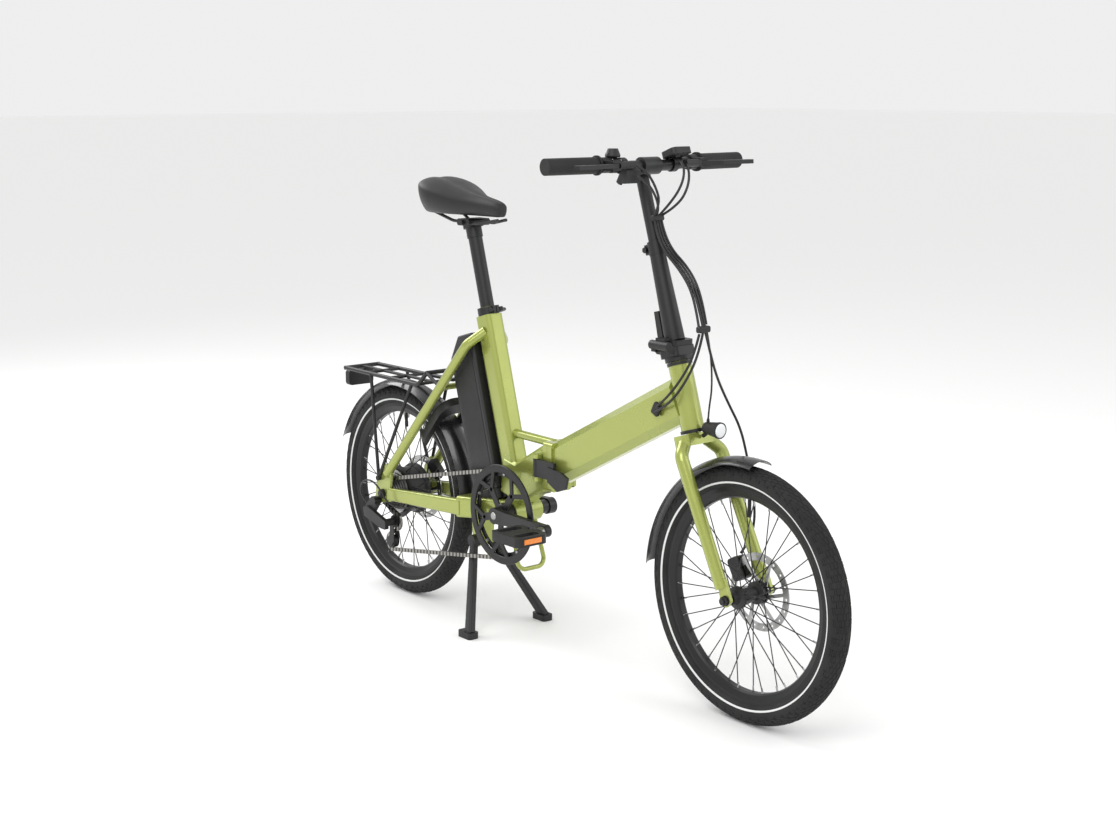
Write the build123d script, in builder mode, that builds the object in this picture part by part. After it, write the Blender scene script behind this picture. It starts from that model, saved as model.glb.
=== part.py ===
from build123d import *
import os
from math import acos, atan2, cos, hypot, pi, radians, sin, tan

# Folding electric bicycle, 20-inch wheels, standing unfolded on its stand.
# +X is forward, +Y the rider's left, +Z up. The origin is on the ground, midway between
# the wheels, under the frame hinge.

# ---- driving dimensions (mm) ----
wheel_radius = 250
tyre_radius = 23.5
wheelbase = 1130
rear_x = -wheelbase / 2
front_x = wheelbase / 2
axle_z = wheel_radius
crank_x = -120
crank_z = 283
seat_lean = 15.9
head_angle = 72.3
fork_rake = 58
hinge_z = 404
hinge_height = 106
fold_pivot_y = 38
beam_tilt = 27.2
beam_height = 88
beam_width = 50
post_radius = 15.45
rim_inner = 187
rim_outer = 209
spoke_count = 36
chain_y = -54
ring_teeth = 48
sprocket_teeth = 16
chain_pitch = 12.7
crank_length = 170
grip_end_y = 250
post_pivot_y = -40
running_gap = 0.05

# ---- working planes ----
seat_up = Vector(-sin(radians(seat_lean)), 0, cos(radians(seat_lean)))
seat_front = Vector(cos(radians(seat_lean)), 0, sin(radians(seat_lean)))
steer_up = Vector(-cos(radians(head_angle)), 0, sin(radians(head_angle)))
steer_front = Vector(sin(radians(head_angle)), 0, cos(radians(head_angle)))
beam_along = Vector(cos(radians(beam_tilt)), 0, sin(radians(beam_tilt)))
beam_up = Vector(-sin(radians(beam_tilt)), 0, cos(radians(beam_tilt)))
crank_centre = Vector(crank_x, 0, crank_z)
steer_foot = Vector(front_x, 0, axle_z) - steer_front * fork_rake


def seat_plane(t):
    """The plane across the seat tube, t along it from the crank axle. Its x points forward."""
    return Plane(origin=crank_centre + seat_up * t, x_dir=seat_front, z_dir=seat_up)


def steer_plane(t):
    """The plane across the steering axis, t up it from the point nearest the front axle."""
    return Plane(origin=steer_foot + steer_up * t, x_dir=steer_front, z_dir=steer_up)


def side_plane(y):
    """The upright fore-and-aft plane at y, with x forward, y up, facing the rider's right."""
    return Plane(origin=(0, y, 0), x_dir=(1, 0, 0), z_dir=(0, -1, 0))


def beam_plane(t):
    """The plane across the main beam, t along it from the hinge. Its x points up."""
    return Plane(origin=Vector(0, 0, hinge_z) + beam_along * t, x_dir=beam_up, z_dir=beam_along)


def bend_radii(points):
    """The largest tangent arc that each corner of a route leaves room for."""
    radii = []
    for before, here, after in zip(points, points[1:], points[2:]):
        run_in = Vector(*here) - Vector(*before)
        run_out = Vector(*after) - Vector(*here)
        turn = radians(run_in.get_angle(run_out))
        radii.append(0.45 * min(run_in.length, run_out.length) / tan(turn / 2))
    return radii


def tube(points, radius, bore=0, radii=None):
    """A round tube along straight runs joined by tangent arcs."""
    with BuildPart() as made:
        with BuildLine() as route:
            if len(points) == 2:
                Line(*points)
            else:
                FilletPolyline(*points, radius=radii or bend_radii(points))
        with BuildSketch(Plane(origin=route.line @ 0, z_dir=route.line % 0)):
            Circle(radius)
            if bore:
                Circle(bore, mode=Mode.SUBTRACT)
        sweep()
    return made.part


def cross_cylinder(x, z, y_from, y_to, radius, bore=0):
    """A cylinder or ring along Y between two y values."""
    with BuildPart() as made:
        with BuildSketch(side_plane(max(y_from, y_to))):
            with Locations((x, z)):
                Circle(radius)
                if bore:
                    Circle(bore, mode=Mode.SUBTRACT)
        extrude(amount=abs(y_to - y_from))
    return made.part


def side_plate(outline, y_from, y_to, fillet_at=0):
    """A flat plate with an outline of (x, z) points, between two y values."""
    with BuildPart() as made:
        with BuildSketch(side_plane(max(y_from, y_to))) as face:
            with BuildLine():
                Polyline(*outline, close=True)
            make_face()
            if fillet_at:
                fillet(face.vertices(), fillet_at)
        extrude(amount=abs(y_to - y_from))
    return made.part


def turned(profile, x, z):
    """A body turned about a Y axis at x, z. The profile is (radius, y) points."""
    with BuildPart() as made:
        with BuildSketch(Plane(origin=(x, 0, z), x_dir=(1, 0, 0), z_dir=(0, 0, 1))):
            with BuildLine():
                Polyline(*profile, close=True)
            make_face()
        revolve(axis=Axis((x, 0, z), (0, 1, 0)))
    return made.part


def write(part, name):
    part.label = name
    export_step(part, f"parts/{name}.step")


def joined(pieces):
    """Several overlapping pieces as one solid."""
    with BuildPart() as made:
        for piece in pieces:
            add(piece)
    return made.part


def spot(t, side=0, front=0):
    """A point t up the seat tube, with offsets to the left and forward of its axis."""
    return crank_centre + seat_up * t + seat_front * front + Vector(0, side, 0)


def steer_spot(t, side=0, front=0):
    """A point t up the steering axis, with offsets to the left and forward of it."""
    return steer_foot + steer_up * t + steer_front * front + Vector(0, side, 0)


os.makedirs("parts", exist_ok=True)

# ================= battery and its dock =================
battery_low = 58
battery_high = 404
battery_deep = 92
battery_wide = 70
battery_gap = 31
with BuildPart() as battery_dock:
    with BuildSketch(seat_plane(battery_low - 22)):
        with Locations((-battery_gap - 42, 0)):
            RectangleRounded(72, 62, 8)
    extrude(amount=21.5)
    with BuildSketch(seat_plane(battery_low)):
        with Locations((-28, 0)):
            Rectangle(5.4, 26)
    extrude(amount=battery_high - battery_low - 40)
    with BuildSketch(seat_plane(battery_low - 22)):
        with Locations((-30, 0)):
            Rectangle(10, 40)
    extrude(amount=21.5)
write(battery_dock.part, "battery_dock")

with BuildPart() as battery:
    with BuildSketch(Plane(origin=spot(0, battery_wide / 2), x_dir=seat_front, z_dir=(0, -1, 0))) as face:
        with BuildLine():
            Polyline(
                (-battery_gap, battery_low), (-battery_gap, battery_high),
                (-battery_gap - 52, battery_high), (-battery_gap - battery_deep, battery_high - 44),
                (-battery_gap - battery_deep, battery_low), close=True,
            )
        make_face()
        fillet(face.vertices(), 7)
    extrude(amount=battery_wide)
    fillet(battery.faces().filter_by(Axis.Y).edges(), 5)
write(battery.part, "battery")

# ================= rear half of the frame =================
shell_radius = 25
shell_half = 36.5
seat_tube_top = 452
seat_tube_deep = 50
seat_tube_wide = 44
yoke_rear_x = -288
hinge_face_gap = 0.3
plate_thick = 14
hinge_low = hinge_z - hinge_height / 2
hinge_high = hinge_z + hinge_height / 2
knuckle_radius = 10
pin_radius = 4
stand_x = -266
stand_z = 189
latch_x, latch_y, latch_z = -24, -38, 404

with BuildPart() as seat_tube:
    with BuildSketch(seat_plane(16)):
        RectangleRounded(seat_tube_deep, seat_tube_wide, 11)
    extrude(amount=seat_tube_top - 34)
    with BuildSketch(seat_plane(seat_tube_top - 20)):
        Circle(19)
    extrude(amount=20)

with BuildPart() as yoke:
    with BuildSketch(Plane(origin=(yoke_rear_x, 0, 268), x_dir=(0, 1, 0), z_dir=(1, 0, 0))):
        RectangleRounded(118, 50, 8)
    with BuildSketch(Plane(origin=(crank_x - 18, 0, crank_z), x_dir=(0, 1, 0), z_dir=(1, 0, 0))):
        RectangleRounded(66, 46, 8)
    loft()


def chainstay(side):
    """A rounded rectangular stay from the yoke out to the rear dropout."""
    with BuildPart() as made:
        with BuildSketch(Plane(origin=(yoke_rear_x + 10, side * 49, 268), z_dir=(1, 0, 0), x_dir=(0, 1, 0))):
            RectangleRounded(20, 38, 6)
        with BuildSketch(Plane(origin=(-345, side * 54, 264), z_dir=(1, 0, 0), x_dir=(0, 1, 0))):
            RectangleRounded(20, 36, 6)
        loft()
    with BuildPart() as tail:
        with BuildSketch(Plane(origin=(-345, side * 54, 264), z_dir=(1, 0, 0), x_dir=(0, 1, 0))):
            RectangleRounded(20, 36, 6)
        with BuildSketch(Plane(origin=(rear_x + 22, side * 67, 252), z_dir=(1, 0, 0), x_dir=(0, 1, 0))):
            RectangleRounded(12, 30, 4)
        loft()
    return joined([made.part, tail.part])


def dropout(side):
    """The plate that holds one end of the rear axle, between the two stays."""
    outline = [
        (-598, 236), (-580, 225), (-530, 236), (-536, 268), (-528, 318), (-562, 322), (-586, 296),
        (-594, 262),
    ]
    return side_plate(outline, side * 64, side * 70, 4)


def seatstay(side):
    """A round stay from the dropout up past the battery to the side of the seat tube."""
    points = [
        (-549, side * 67, 300), (-400, side * 60, 470), tuple(spot(378, side * 51, -30)),
        tuple(spot(400, side * 18, 2)),
    ]
    return tube(points, 11, radii=[400, 22])


stub_outline = [
    (-176, 318), (-104, 302), (-60, 330), (-8, hinge_low), (-8, hinge_high), (-120, 392), (-162, 400),
]
with BuildPart() as stub:
    with BuildSketch(side_plane(24)) as face:
        with BuildLine():
            Polyline(*stub_outline, close=True)
        make_face()
    extrude(amount=48)
    chamfer(stub.edges().filter_by(Axis.Y, reverse=True).filter_by(GeomType.LINE), 6)

with BuildPart() as hinge_rear:
    with BuildSketch(Plane(origin=(-plate_thick, -2, hinge_z), x_dir=(0, 1, 0), z_dir=(1, 0, 0))):
        RectangleRounded(56, hinge_height, 8)
    extrude(amount=plate_thick - hinge_face_gap)
    for low in (hinge_low + 4, hinge_high - 36):
        with BuildSketch(Plane.XY.offset(low)):
            with Locations((0, fold_pivot_y)):
                Circle(knuckle_radius)
            with Locations((-5.3, 30)):
                Rectangle(10, 20)
        extrude(amount=32)
    with BuildSketch(Plane.XY.offset(hinge_low)):
        with Locations((0, fold_pivot_y)):
            Circle(pin_radius)
    extrude(amount=hinge_height, mode=Mode.SUBTRACT)

# lugs and pin for the hinge latch, on the right of the stub
with BuildPart() as latch_mount:
    for low in (latch_z - 32, latch_z + 17):
        with BuildSketch(Plane.XY.offset(low)):
            with Locations((latch_x, latch_y)):
                Circle(7)
            with Locations((latch_x + 2, -31)):
                Rectangle(12, 14)
        extrude(amount=9)
    with BuildSketch(Plane.XY.offset(latch_z - 30)):
        with Locations((latch_x, latch_y)):
            Circle(3)
    extrude(amount=54)
    add(side_plate([(-32, 366), (-16, 366), (-16, 436), (-32, 436)], -27, -24))

brace = tube([(-170, 0, 452), (-10, 0, 450)], 9.5)
hoop_points = [(-118, -30, 264), (-90, -38, 160), (-90, 38, 160), (-118, 30, 264)]
hoop = tube(hoop_points, 5, radii=[20, 20])
stand_bracket = side_plate([(-286, 246), (-246, 246), (-250, 182), (-266, 172), (-282, 182)], -17, 17, 5)
shell = cross_cylinder(crank_x, crank_z, -shell_half, shell_half, shell_radius)
stay_bridge = tube([(-346, -54, 531), (-346, 54, 531)], 7)
pieces = [latch_mount.part, seat_tube.part, yoke.part, stub.part, hinge_rear.part]
pieces += [brace, hoop, stand_bracket, shell, stay_bridge]
pieces += [chainstay(s) for s in (-1, 1)] + [dropout(s) for s in (-1, 1)] + [seatstay(s) for s in (-1, 1)]
with BuildPart() as rear_frame:
    for piece in pieces:
        add(piece)
    add(battery_dock.part, mode=Mode.SUBTRACT)
    with BuildSketch(seat_plane(battery_low - 1)):
        with Locations((-battery_gap - battery_deep / 2, 0)):
            Rectangle(battery_deep + 1, battery_wide + 1)
    extrude(amount=battery_high - battery_low + 2, mode=Mode.SUBTRACT)
    with BuildSketch(seat_plane(150)):
        Circle(post_radius + running_gap)
    extrude(amount=seat_tube_top, mode=Mode.SUBTRACT)
    with BuildSketch(side_plane(shell_half)):
        with Locations((crank_x, crank_z)):
            Circle(20)
    extrude(amount=2 * shell_half, mode=Mode.SUBTRACT)
    with BuildSketch(side_plane(80)):
        with Locations((rear_x, axle_z)):
            Circle(6)
    extrude(amount=160, mode=Mode.SUBTRACT)
    with BuildSketch(side_plane(40)):
        with Locations((stand_x, stand_z)):
            Circle(5 + running_gap)
    extrude(amount=80, mode=Mode.SUBTRACT)
write(rear_frame.part, "rear_frame")

# hinge pin, held in the rear knuckles
with BuildPart() as hinge_pin:
    with BuildSketch(Plane.XY.offset(hinge_low + 1)):
        with Locations((0, fold_pivot_y)):
            Circle(pin_radius)
    extrude(amount=hinge_height - 2)
    for low in (hinge_low + 1, hinge_high - 3.5):
        with BuildSketch(Plane.XY.offset(low)):
            with Locations((0, fold_pivot_y)):
                Circle(6.5)
        extrude(amount=2.5)
write(hinge_pin.part, "hinge_pin")

# bottom bracket: the bearing cartridge with its axle
with BuildPart() as bottom_bracket:
    add(cross_cylinder(crank_x, crank_z, -shell_half, shell_half, 20, 8.5))
    add(cross_cylinder(crank_x, crank_z, -shell_half - 3, -shell_half, 22, 8.5))
    add(cross_cylinder(crank_x, crank_z, shell_half, shell_half + 3, 22, 8.5))
write(bottom_bracket.part, "bottom_bracket")

# seat collar with the lugs that its quick-release lever pulls together
with BuildPart() as seat_collar:
    with BuildSketch(seat_plane(seat_tube_top - 17.8)):
        Circle(23)
        with Locations((24, 0)):
            Rectangle(14, 16)
        Circle(19.02, mode=Mode.SUBTRACT)
        with Locations((26, 0)):
            Rectangle(24, 2, mode=Mode.SUBTRACT)
    extrude(amount=17)
    with BuildSketch(Plane(origin=spot(seat_tube_top - 9.3, 8, 26), z_dir=(0, -1, 0))):
        Circle(2.5)
    extrude(amount=18)
    with BuildSketch(Plane(origin=spot(seat_tube_top - 9.3, -8, 26), z_dir=(0, -1, 0))):
        RegularPolygon(6, 6)
    extrude(amount=6)
write(seat_collar.part, "seat_collar")

# seat quick-release: cam barrel beside the lugs, with a lever that lies back along the tube
qr = spot(seat_tube_top - 9.3, 0, 26)
cam_y = 15.5
lever_points = [
    qr + Vector(0, cam_y, 0), qr + Vector(-14, 38, -4), qr + Vector(-48, 42, -13), qr + Vector(-70, 41, -19),
]
with BuildPart() as seat_lever:
    with BuildSketch(Plane(origin=qr + Vector(0, cam_y, 0) - seat_up * 5, x_dir=seat_front, z_dir=seat_up)):
        Circle(5)
    extrude(amount=10)
    add(tube(lever_points, 3.8, radii=[12, 30]))
write(seat_lever.part, "seat_lever")

# ================= seat post and saddle =================
post_top = 630
post_bottom = 322
with BuildPart() as seat_post:
    with BuildSketch(seat_plane(post_bottom)):
        Circle(post_radius)
        Circle(post_radius - 2.5, mode=Mode.SUBTRACT)
    extrude(amount=post_top - post_bottom)
write(seat_post.part, "seat_post")

# saddle clamp: head over the post, its bolt, and the two steel rails it grips
saddle_pitch = 6
saddle_x = -308
saddle_z = 930
head = spot(post_top, 0, 0)


def rail(side):
    """One saddle rail, from the nose socket back to the rear of the shell."""
    points = [
        (saddle_x + 118, side * 11, head.Z + 22),
        (saddle_x + 62, side * 20, head.Z + 12),
        (saddle_x - 30, side * 22, head.Z + 14),
        (saddle_x - 88, side * 36, head.Z + 34),
    ]
    return tube(points, 3.5, radii=[50, 40])


with BuildPart() as saddle_clamp:
    with BuildSketch(seat_plane(post_top - 22)):
        Circle(17.5)
        Circle(post_radius, mode=Mode.SUBTRACT)
    extrude(amount=22)
    with BuildSketch(seat_plane(post_top)):
        RectangleRounded(40, 34, 8)
    extrude(amount=8)
    with BuildSketch(Plane(origin=(head.X, 29, head.Z + 13), z_dir=(0, -1, 0), x_dir=(1, 0, 0))):
        RectangleRounded(44, 15, 6)
    extrude(amount=58)
    add(rail(1))
    add(rail(-1))
    with BuildSketch(Plane(origin=(head.X, 35, head.Z + 13), z_dir=(0, -1, 0))):
        Circle(5)
    extrude(amount=70)
write(saddle_clamp.part, "saddle_clamp")

# saddle: a closed shell and pad, wide at the rear and narrow at the nose
saddle_sections = [
    (-124, 62, 20, 22), (-100, 140, 44, 18), (-60, 152, 46, 12), (-10, 112, 42, 4),
    (40, 62, 38, -1), (90, 42, 34, 0), (122, 26, 20, 0),
]
with BuildPart() as saddle:
    for along, width, depth, rise in saddle_sections:
        place = (saddle_x + along, 0, saddle_z + 18 + rise - along * tan(radians(saddle_pitch)))
        with BuildSketch(Plane(origin=place, x_dir=(0, 1, 0), z_dir=(1, 0, 0))):
            RectangleRounded(width, depth, min(width, depth) * 0.42)
    loft()
    with BuildSketch(Plane(origin=(saddle_x - 8, 0, saddle_z - 24), z_dir=(0, 0, 1))):
        RectangleRounded(176, 58, 20)
    extrude(amount=26, mode=Mode.SUBTRACT)
write(saddle.part, "saddle")

# ================= rear rack, mudguard, light, lock =================
rack_z = 524
rack_tube = 5


def rack_rail(side):
    """One side rail of the rack, with its front end bent up to the stays."""
    points = [(-752, side * 46, rack_z), (-440, side * 52, rack_z), (-405, side * 52, rack_z + 32)]
    return tube(points, rack_tube, radii=[30])


def rack_strut(side, top_x):
    """A strut from the dropout eyelet up to the rack rail."""
    return tube([(-576, side * 74, 286), (top_x, side * 51, rack_z)], 4)


with BuildPart() as rack:
    for side in (-1, 1):
        add(rack_rail(side))
        add(rack_strut(side, -636))
        add(rack_strut(side, -466))
        add(cross_cylinder(-576, 286, side * 70.2, side * 79, 6))
    for x in (-752, -660, -560, -450):
        add(tube([(x, -50, rack_z), (x, 50, rack_z)], rack_tube if x < -700 else 4))
    add(tube([(-405, -52, rack_z + 32), (-405, 52, rack_z + 32)], rack_tube))
    add(tube([(-405, -52, rack_z + 32), (-352, -58, 535)], 4))
    add(tube([(-405, 52, rack_z + 32), (-352, 58, 535)], 4))
    with BuildSketch(Plane.XY.offset(rack_z - 2)):
        with Locations((-600, 0)):
            Rectangle(300, 12)
    extrude(amount=4)
write(rack.part, "rack")

guard_radius = 264
guard_wall = 1.6


def mudguard(x, from_deg, to_deg, half_width):
    """A crowned blade round part of a wheel, between two angles from the front of the wheel."""
    crown = 12
    with BuildPart() as made:
        start = Plane(origin=(x, 0, axle_z), x_dir=(1, 0, 0), z_dir=(0, 0, 1))
        with BuildSketch(start):
            with BuildLine():
                ThreePointArc(
                    (guard_radius - crown, -half_width), (guard_radius, 0), (guard_radius - crown, half_width),
                )
                Line((guard_radius - crown, half_width), (guard_radius - crown + 1.6, half_width + 0.4))
                ThreePointArc(
                    (guard_radius - crown + 1.6, half_width + 0.4), (guard_radius + guard_wall, 0),
                    (guard_radius - crown + 1.6, -half_width - 0.4),
                )
                Line((guard_radius - crown + 1.6, -half_width - 0.4), (guard_radius - crown, -half_width))
            make_face()
        revolve(axis=Axis((x, 0, axle_z), (0, -1, 0)), revolution_arc=to_deg - from_deg)
    return made.part.rotate(Axis((x, 0, axle_z), (0, -1, 0)), from_deg)


write(mudguard(rear_x, 8, 158, 29), "rear_mudguard")

# rear light, under the tail of the rack
with BuildPart() as rear_light:
    with BuildSketch(Plane(origin=(-757, 0, 497), x_dir=(0, 1, 0), z_dir=(-1, 0, 0))):
        RectangleRounded(70, 38, 9)
    extrude(amount=16)
    add(tube([(-758, -12, 512), (-755, -12, 519)], 3))
    add(tube([(-758, 12, 512), (-755, 12, 519)], 3))
write(rear_light.part, "rear_light")

# ring lock: a horseshoe body across the seat stays, open round the tyre
with BuildPart() as ring_lock:
    lock_plane = Plane(origin=(-405, 0, 445), x_dir=(0, 1, 0), z_dir=(0.751, 0, -0.66))
    with BuildSketch(lock_plane):
        RectangleRounded(100, 150, 38)
        with Locations((0, -22)):
            RectangleRounded(68, 126, 26, mode=Mode.SUBTRACT)
        with Locations((0, -75)):
            Rectangle(68, 60, mode=Mode.SUBTRACT)
    extrude(amount=20)
write(ring_lock.part, "ring_lock")

# ================= wheels =================
hub_bore = 6 + running_gap


def tyre(x):
    """A round tyre sitting on the rim's outer face."""
    ring = wheel_radius - tyre_radius
    with BuildPart() as made:
        with BuildSketch(Plane(origin=(x, 0, axle_z), x_dir=(1, 0, 0), z_dir=(0, 0, 1))):
            with Locations((ring, 0)):
                Circle(tyre_radius)
            with Locations((rim_outer / 2, 0)):
                Rectangle(rim_outer, 60, mode=Mode.SUBTRACT)
        revolve(axis=Axis((x, 0, axle_z), (0, 1, 0)))
    return made.part


def rim(x):
    """A box-section rim with a narrower spoke bed."""
    profile = [
        (rim_outer, -13), (rim_outer, 13), (rim_outer - 8, 13.5), (rim_inner + 3, 10), (rim_inner, 6),
        (rim_inner, -6), (rim_inner + 3, -10), (rim_outer - 8, -13.5),
    ]
    return turned(profile, x, axle_z)


def spokes(x, flange_radius, flange_y, thickness):
    """Crossed spokes from the two hub flanges to the middle of the rim."""
    lean = 28 if flange_radius < 40 else 14
    with BuildPart() as made:
        for number in range(spoke_count):
            side = 1 if number % 2 else -1
            lead = 1 if number % 4 < 2 else -1
            rim_turn = radians(360 / spoke_count * number + 5)
            hub_turn = rim_turn + radians(lead * lean)
            foot = Vector(
                x + flange_radius * cos(hub_turn), side * (flange_y + lead * 1.9),
                axle_z + flange_radius * sin(hub_turn),
            )
            tip = Vector(
                x + (rim_inner + 1.5) * cos(rim_turn), side * 4,
                axle_z + (rim_inner + 1.5) * sin(rim_turn),
            )
            with BuildSketch(Plane(origin=foot, z_dir=tip - foot)):
                Circle(thickness / 2)
            extrude(amount=(tip - foot).length)
    return made.part


def disc(x, y, radius, bore):
    """A brake disc: a braking ring on six slanted arms and a small centre."""
    with BuildPart() as made:
        with BuildSketch(side_plane(y + 1)):
            with Locations((x, axle_z)):
                Circle(radius)
                Circle(radius - 15, mode=Mode.SUBTRACT)
                Circle(24)
                with PolarLocations(38, 6):
                    with Locations(Location((0, 0), 18)):
                        Rectangle(52, 7)
                Circle(bore, mode=Mode.SUBTRACT)
                with PolarLocations(radius - 7.5, 18):
                    Circle(2.6, mode=Mode.SUBTRACT)
        extrude(amount=2)
    return made.part


write(tyre(rear_x), "rear_tyre")
write(rim(rear_x), "rear_rim")
write(tyre(front_x), "front_tyre")
write(rim(front_x), "front_rim")

# rear hub motor: a drum with a flange lip at each side, and a boss for the disc
motor_profile = [
    (hub_bore, -31.5), (64, -31.5), (64, -29.5), (57, -29), (60, -26), (60, -21), (54, -17), (54, 15),
    (60, 19), (60, 26), (56, 30), (30, 36), (22, 38), (22, 44), (hub_bore, 44),
]
write(turned(motor_profile, rear_x, axle_z), "motor_hub")
write(spokes(rear_x, 58.5, 23, 2.2), "rear_spokes")
write(disc(rear_x, 45.1, 76, 10), "rear_disc")

# front hub: slim barrel between two flanges
hub_profile = [
    (hub_bore, -46), (11, -46), (13, -34), (22, -30), (22, -24), (14, -20), (14, 16), (22, 20), (22, 26),
    (20, 30), (20, 36), (11, 38), (11, 46), (hub_bore, 46),
]
write(turned(hub_profile, front_x, axle_z), "front_hub")
write(spokes(front_x, 20.5, 25, 2.2), "front_spokes")
write(disc(front_x, 32.9, 76, 20.2), "front_disc")


def axle(x, half_length, inner_y, nut_size):
    """A solid axle with a nut and washer outside each dropout."""
    with BuildPart() as made:
        add(cross_cylinder(x, axle_z, -half_length, half_length, 5.95))
        for side in (-1, 1):
            low, high = sorted((side * inner_y, side * (inner_y + 1.5)))
            add(cross_cylinder(x, axle_z, low, high, nut_size))
            with BuildSketch(side_plane(max(side * (inner_y + 1.5), side * (inner_y + 9)))):
                with Locations((x, axle_z)):
                    RegularPolygon(nut_size - 1, 6)
            extrude(amount=7.5)
            add(cross_cylinder(x, axle_z, *sorted((side * (inner_y - 9.5), side * (inner_y - 7.2))), 9))
    return made.part


write(axle(rear_x, 81, 70.1, 11), "rear_axle")
write(axle(front_x, 70, 58.6, 10), "front_axle")

# cassette: seven sprockets on a freehub body that turns on the axle
cog_teeth = [14, 16, 18, 20, 22, 24, 28]
cog_pitch = 4


def pitch_radius(teeth):
    """The radius of the chain's pin line round a sprocket."""
    return chain_pitch / 2 / sin(pi / teeth)


with BuildPart() as cassette:
    add(cross_cylinder(rear_x, axle_z, -60.2, -32.2, 19, hub_bore))
    for number, teeth in enumerate(cog_teeth):
        middle = chain_y - cog_pitch + cog_pitch * number
        add(cross_cylinder(rear_x, axle_z, middle - 0.9, middle + 0.9, pitch_radius(teeth) - 4.4, 18))
write(cassette.part, "cassette")


# ================= crank set =================
ring_radius = pitch_radius(ring_teeth) - 4.4
guard_outer = 110
bolt_circle = 86
with BuildPart() as chainring:
    with BuildSketch(side_plane(-58.2)):
        with Locations((crank_x, crank_z)):
            Circle(guard_outer)
            with PolarLocations(52, 5, start_angle=15):
                with Locations(Location((0, 0), 90)):
                    SlotOverall(60, 37, mode=Mode.SUBTRACT)
            with PolarLocations(87, 5, start_angle=51):
                Triangle(a=20, b=20, c=20, align=(Align.CENTER, Align.CENTER), mode=Mode.SUBTRACT)
            Circle(8.45, mode=Mode.SUBTRACT)
    extrude(amount=4.5)
    add(cross_cylinder(crank_x, crank_z, -58.3, -42, 19, 8.45))
    with BuildSketch(side_plane(-52.5)):
        with Locations((crank_x, crank_z)):
            Circle(ring_radius)
            Circle(ring_radius - 13, mode=Mode.SUBTRACT)
    extrude(amount=3)
    with BuildSketch(side_plane(-55.4)):
        with Locations((crank_x, crank_z)):
            with PolarLocations(bolt_circle, 5, start_angle=15):
                Circle(5)
    extrude(amount=3)
write(chainring.part, "chainring")


def crank_arm(side, heading):
    """A tapered arm with a boss on the axle and a threaded eye for the pedal."""
    end_x = crank_x + heading * crank_length
    outer = side * 82
    inner = side * 68
    outline = [
        (crank_x, crank_z - 17), (crank_x + heading * 40, crank_z - 14), (end_x, crank_z - 12),
        (end_x, crank_z + 12), (crank_x + heading * 40, crank_z + 14), (crank_x, crank_z + 17),
    ]
    pieces = [
        side_plate(outline, inner, outer),
        cross_cylinder(crank_x, crank_z, *sorted((side * 63, outer)), 18),
        cross_cylinder(end_x, crank_z, inner, outer, 13),
    ]
    if side > 0:
        pieces.append(cross_cylinder(crank_x, crank_z, 42, 64, 15))
    with BuildPart() as made:
        for piece in pieces:
            add(piece)
        with BuildSketch(side_plane(100 if side > 0 else 0)):
            with Locations((end_x, crank_z)):
                Circle(7)
        extrude(amount=100, mode=Mode.SUBTRACT)
        if side > 0:
            with BuildSketch(side_plane(78)):
                with Locations((crank_x, crank_z)):
                    Circle(8.45)
            extrude(amount=60, mode=Mode.SUBTRACT)
        else:
            add(cross_cylinder(crank_x, crank_z, -70, 76, 8.4))
    return made.part


write(crank_arm(-1, 1), "crank_right")
write(crank_arm(1, -1), "crank_left")


def pedal_hub(side, heading):
    """The bearing housing that screws into the crank, with a fork for the folding platform."""
    x = crank_x + heading * crank_length
    return joined([
        cross_cylinder(x, crank_z, *sorted((side * 70, side * 84)), 6.95),
        cross_cylinder(x, crank_z, *sorted((side * 82.4, side * 94)), 10),
        tube([(x - 13, side * 102, crank_z), (x + 13, side * 102, crank_z)], 3),
        side_plate(
            [(x - 14, crank_z - 8), (x + 14, crank_z - 8), (x + 14, crank_z + 8), (x - 14, crank_z + 8)],
            *sorted((side * 90, side * 94.8)),
        ),
        joined([
            side_plate(
                [(x + s * 14, crank_z - 5), (x + s * 10, crank_z - 5), (x + s * 10, crank_z + 5),
                 (x + s * 14, crank_z + 5)], *sorted((side * 94.5, side * 107)),
            ) for s in (-1, 1)
        ]),
    ])


def pedal(side, heading):
    """A folding platform with an open cage round a core that pivots on the housing's pin."""
    x = crank_x + heading * crank_length
    with BuildPart() as made:
        with BuildSketch(Plane.XY.offset(crank_z - 10)):
            with Locations((x, side * 145)):
                RectangleRounded(94, 80, 12)
            with Locations((x - 28, side * 147), (x + 28, side * 147)):
                RectangleRounded(20, 56, 6, mode=Mode.SUBTRACT)
            with Locations((x, side * 104.5)):
                Rectangle(30, 19, mode=Mode.SUBTRACT)
        extrude(amount=20)
        with BuildSketch(Plane(origin=(x - 9.6, 0, 0), x_dir=(0, 1, 0), z_dir=(1, 0, 0))):
            with Locations((side * 102, crank_z)):
                Circle(6.5)
            with Locations((side * 109.5, crank_z)):
                Rectangle(15, 13)
        extrude(amount=19.2)
        with BuildSketch(Plane(origin=(x - 20, 0, 0), x_dir=(0, 1, 0), z_dir=(1, 0, 0))):
            with Locations((side * 102, crank_z)):
                Circle(3 + running_gap)
        extrude(amount=40, mode=Mode.SUBTRACT)
    return made.part


write(pedal_hub(-1, 1), "pedal_hub_right")
write(pedal_hub(1, -1), "pedal_hub_left")
write(pedal(-1, 1), "pedal_right")
write(pedal(1, -1), "pedal_left")

# ================= chain and derailleur =================
guide_x, guide_z = -536, 186
tension_x, tension_z = -551, 134
jockey_radius = 19.5
chain_half_height = 4.2
chain_width = 6

# each wheel the chain passes: centre, pitch radius, and +1 where it turns anticlockwise
chain_wheels = [
    (crank_x, crank_z, pitch_radius(ring_teeth), 1),
    (rear_x, axle_z, pitch_radius(sprocket_teeth), 1),
    (guide_x, guide_z, jockey_radius, -1),
    (tension_x, tension_z, jockey_radius, 1),
]


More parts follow.
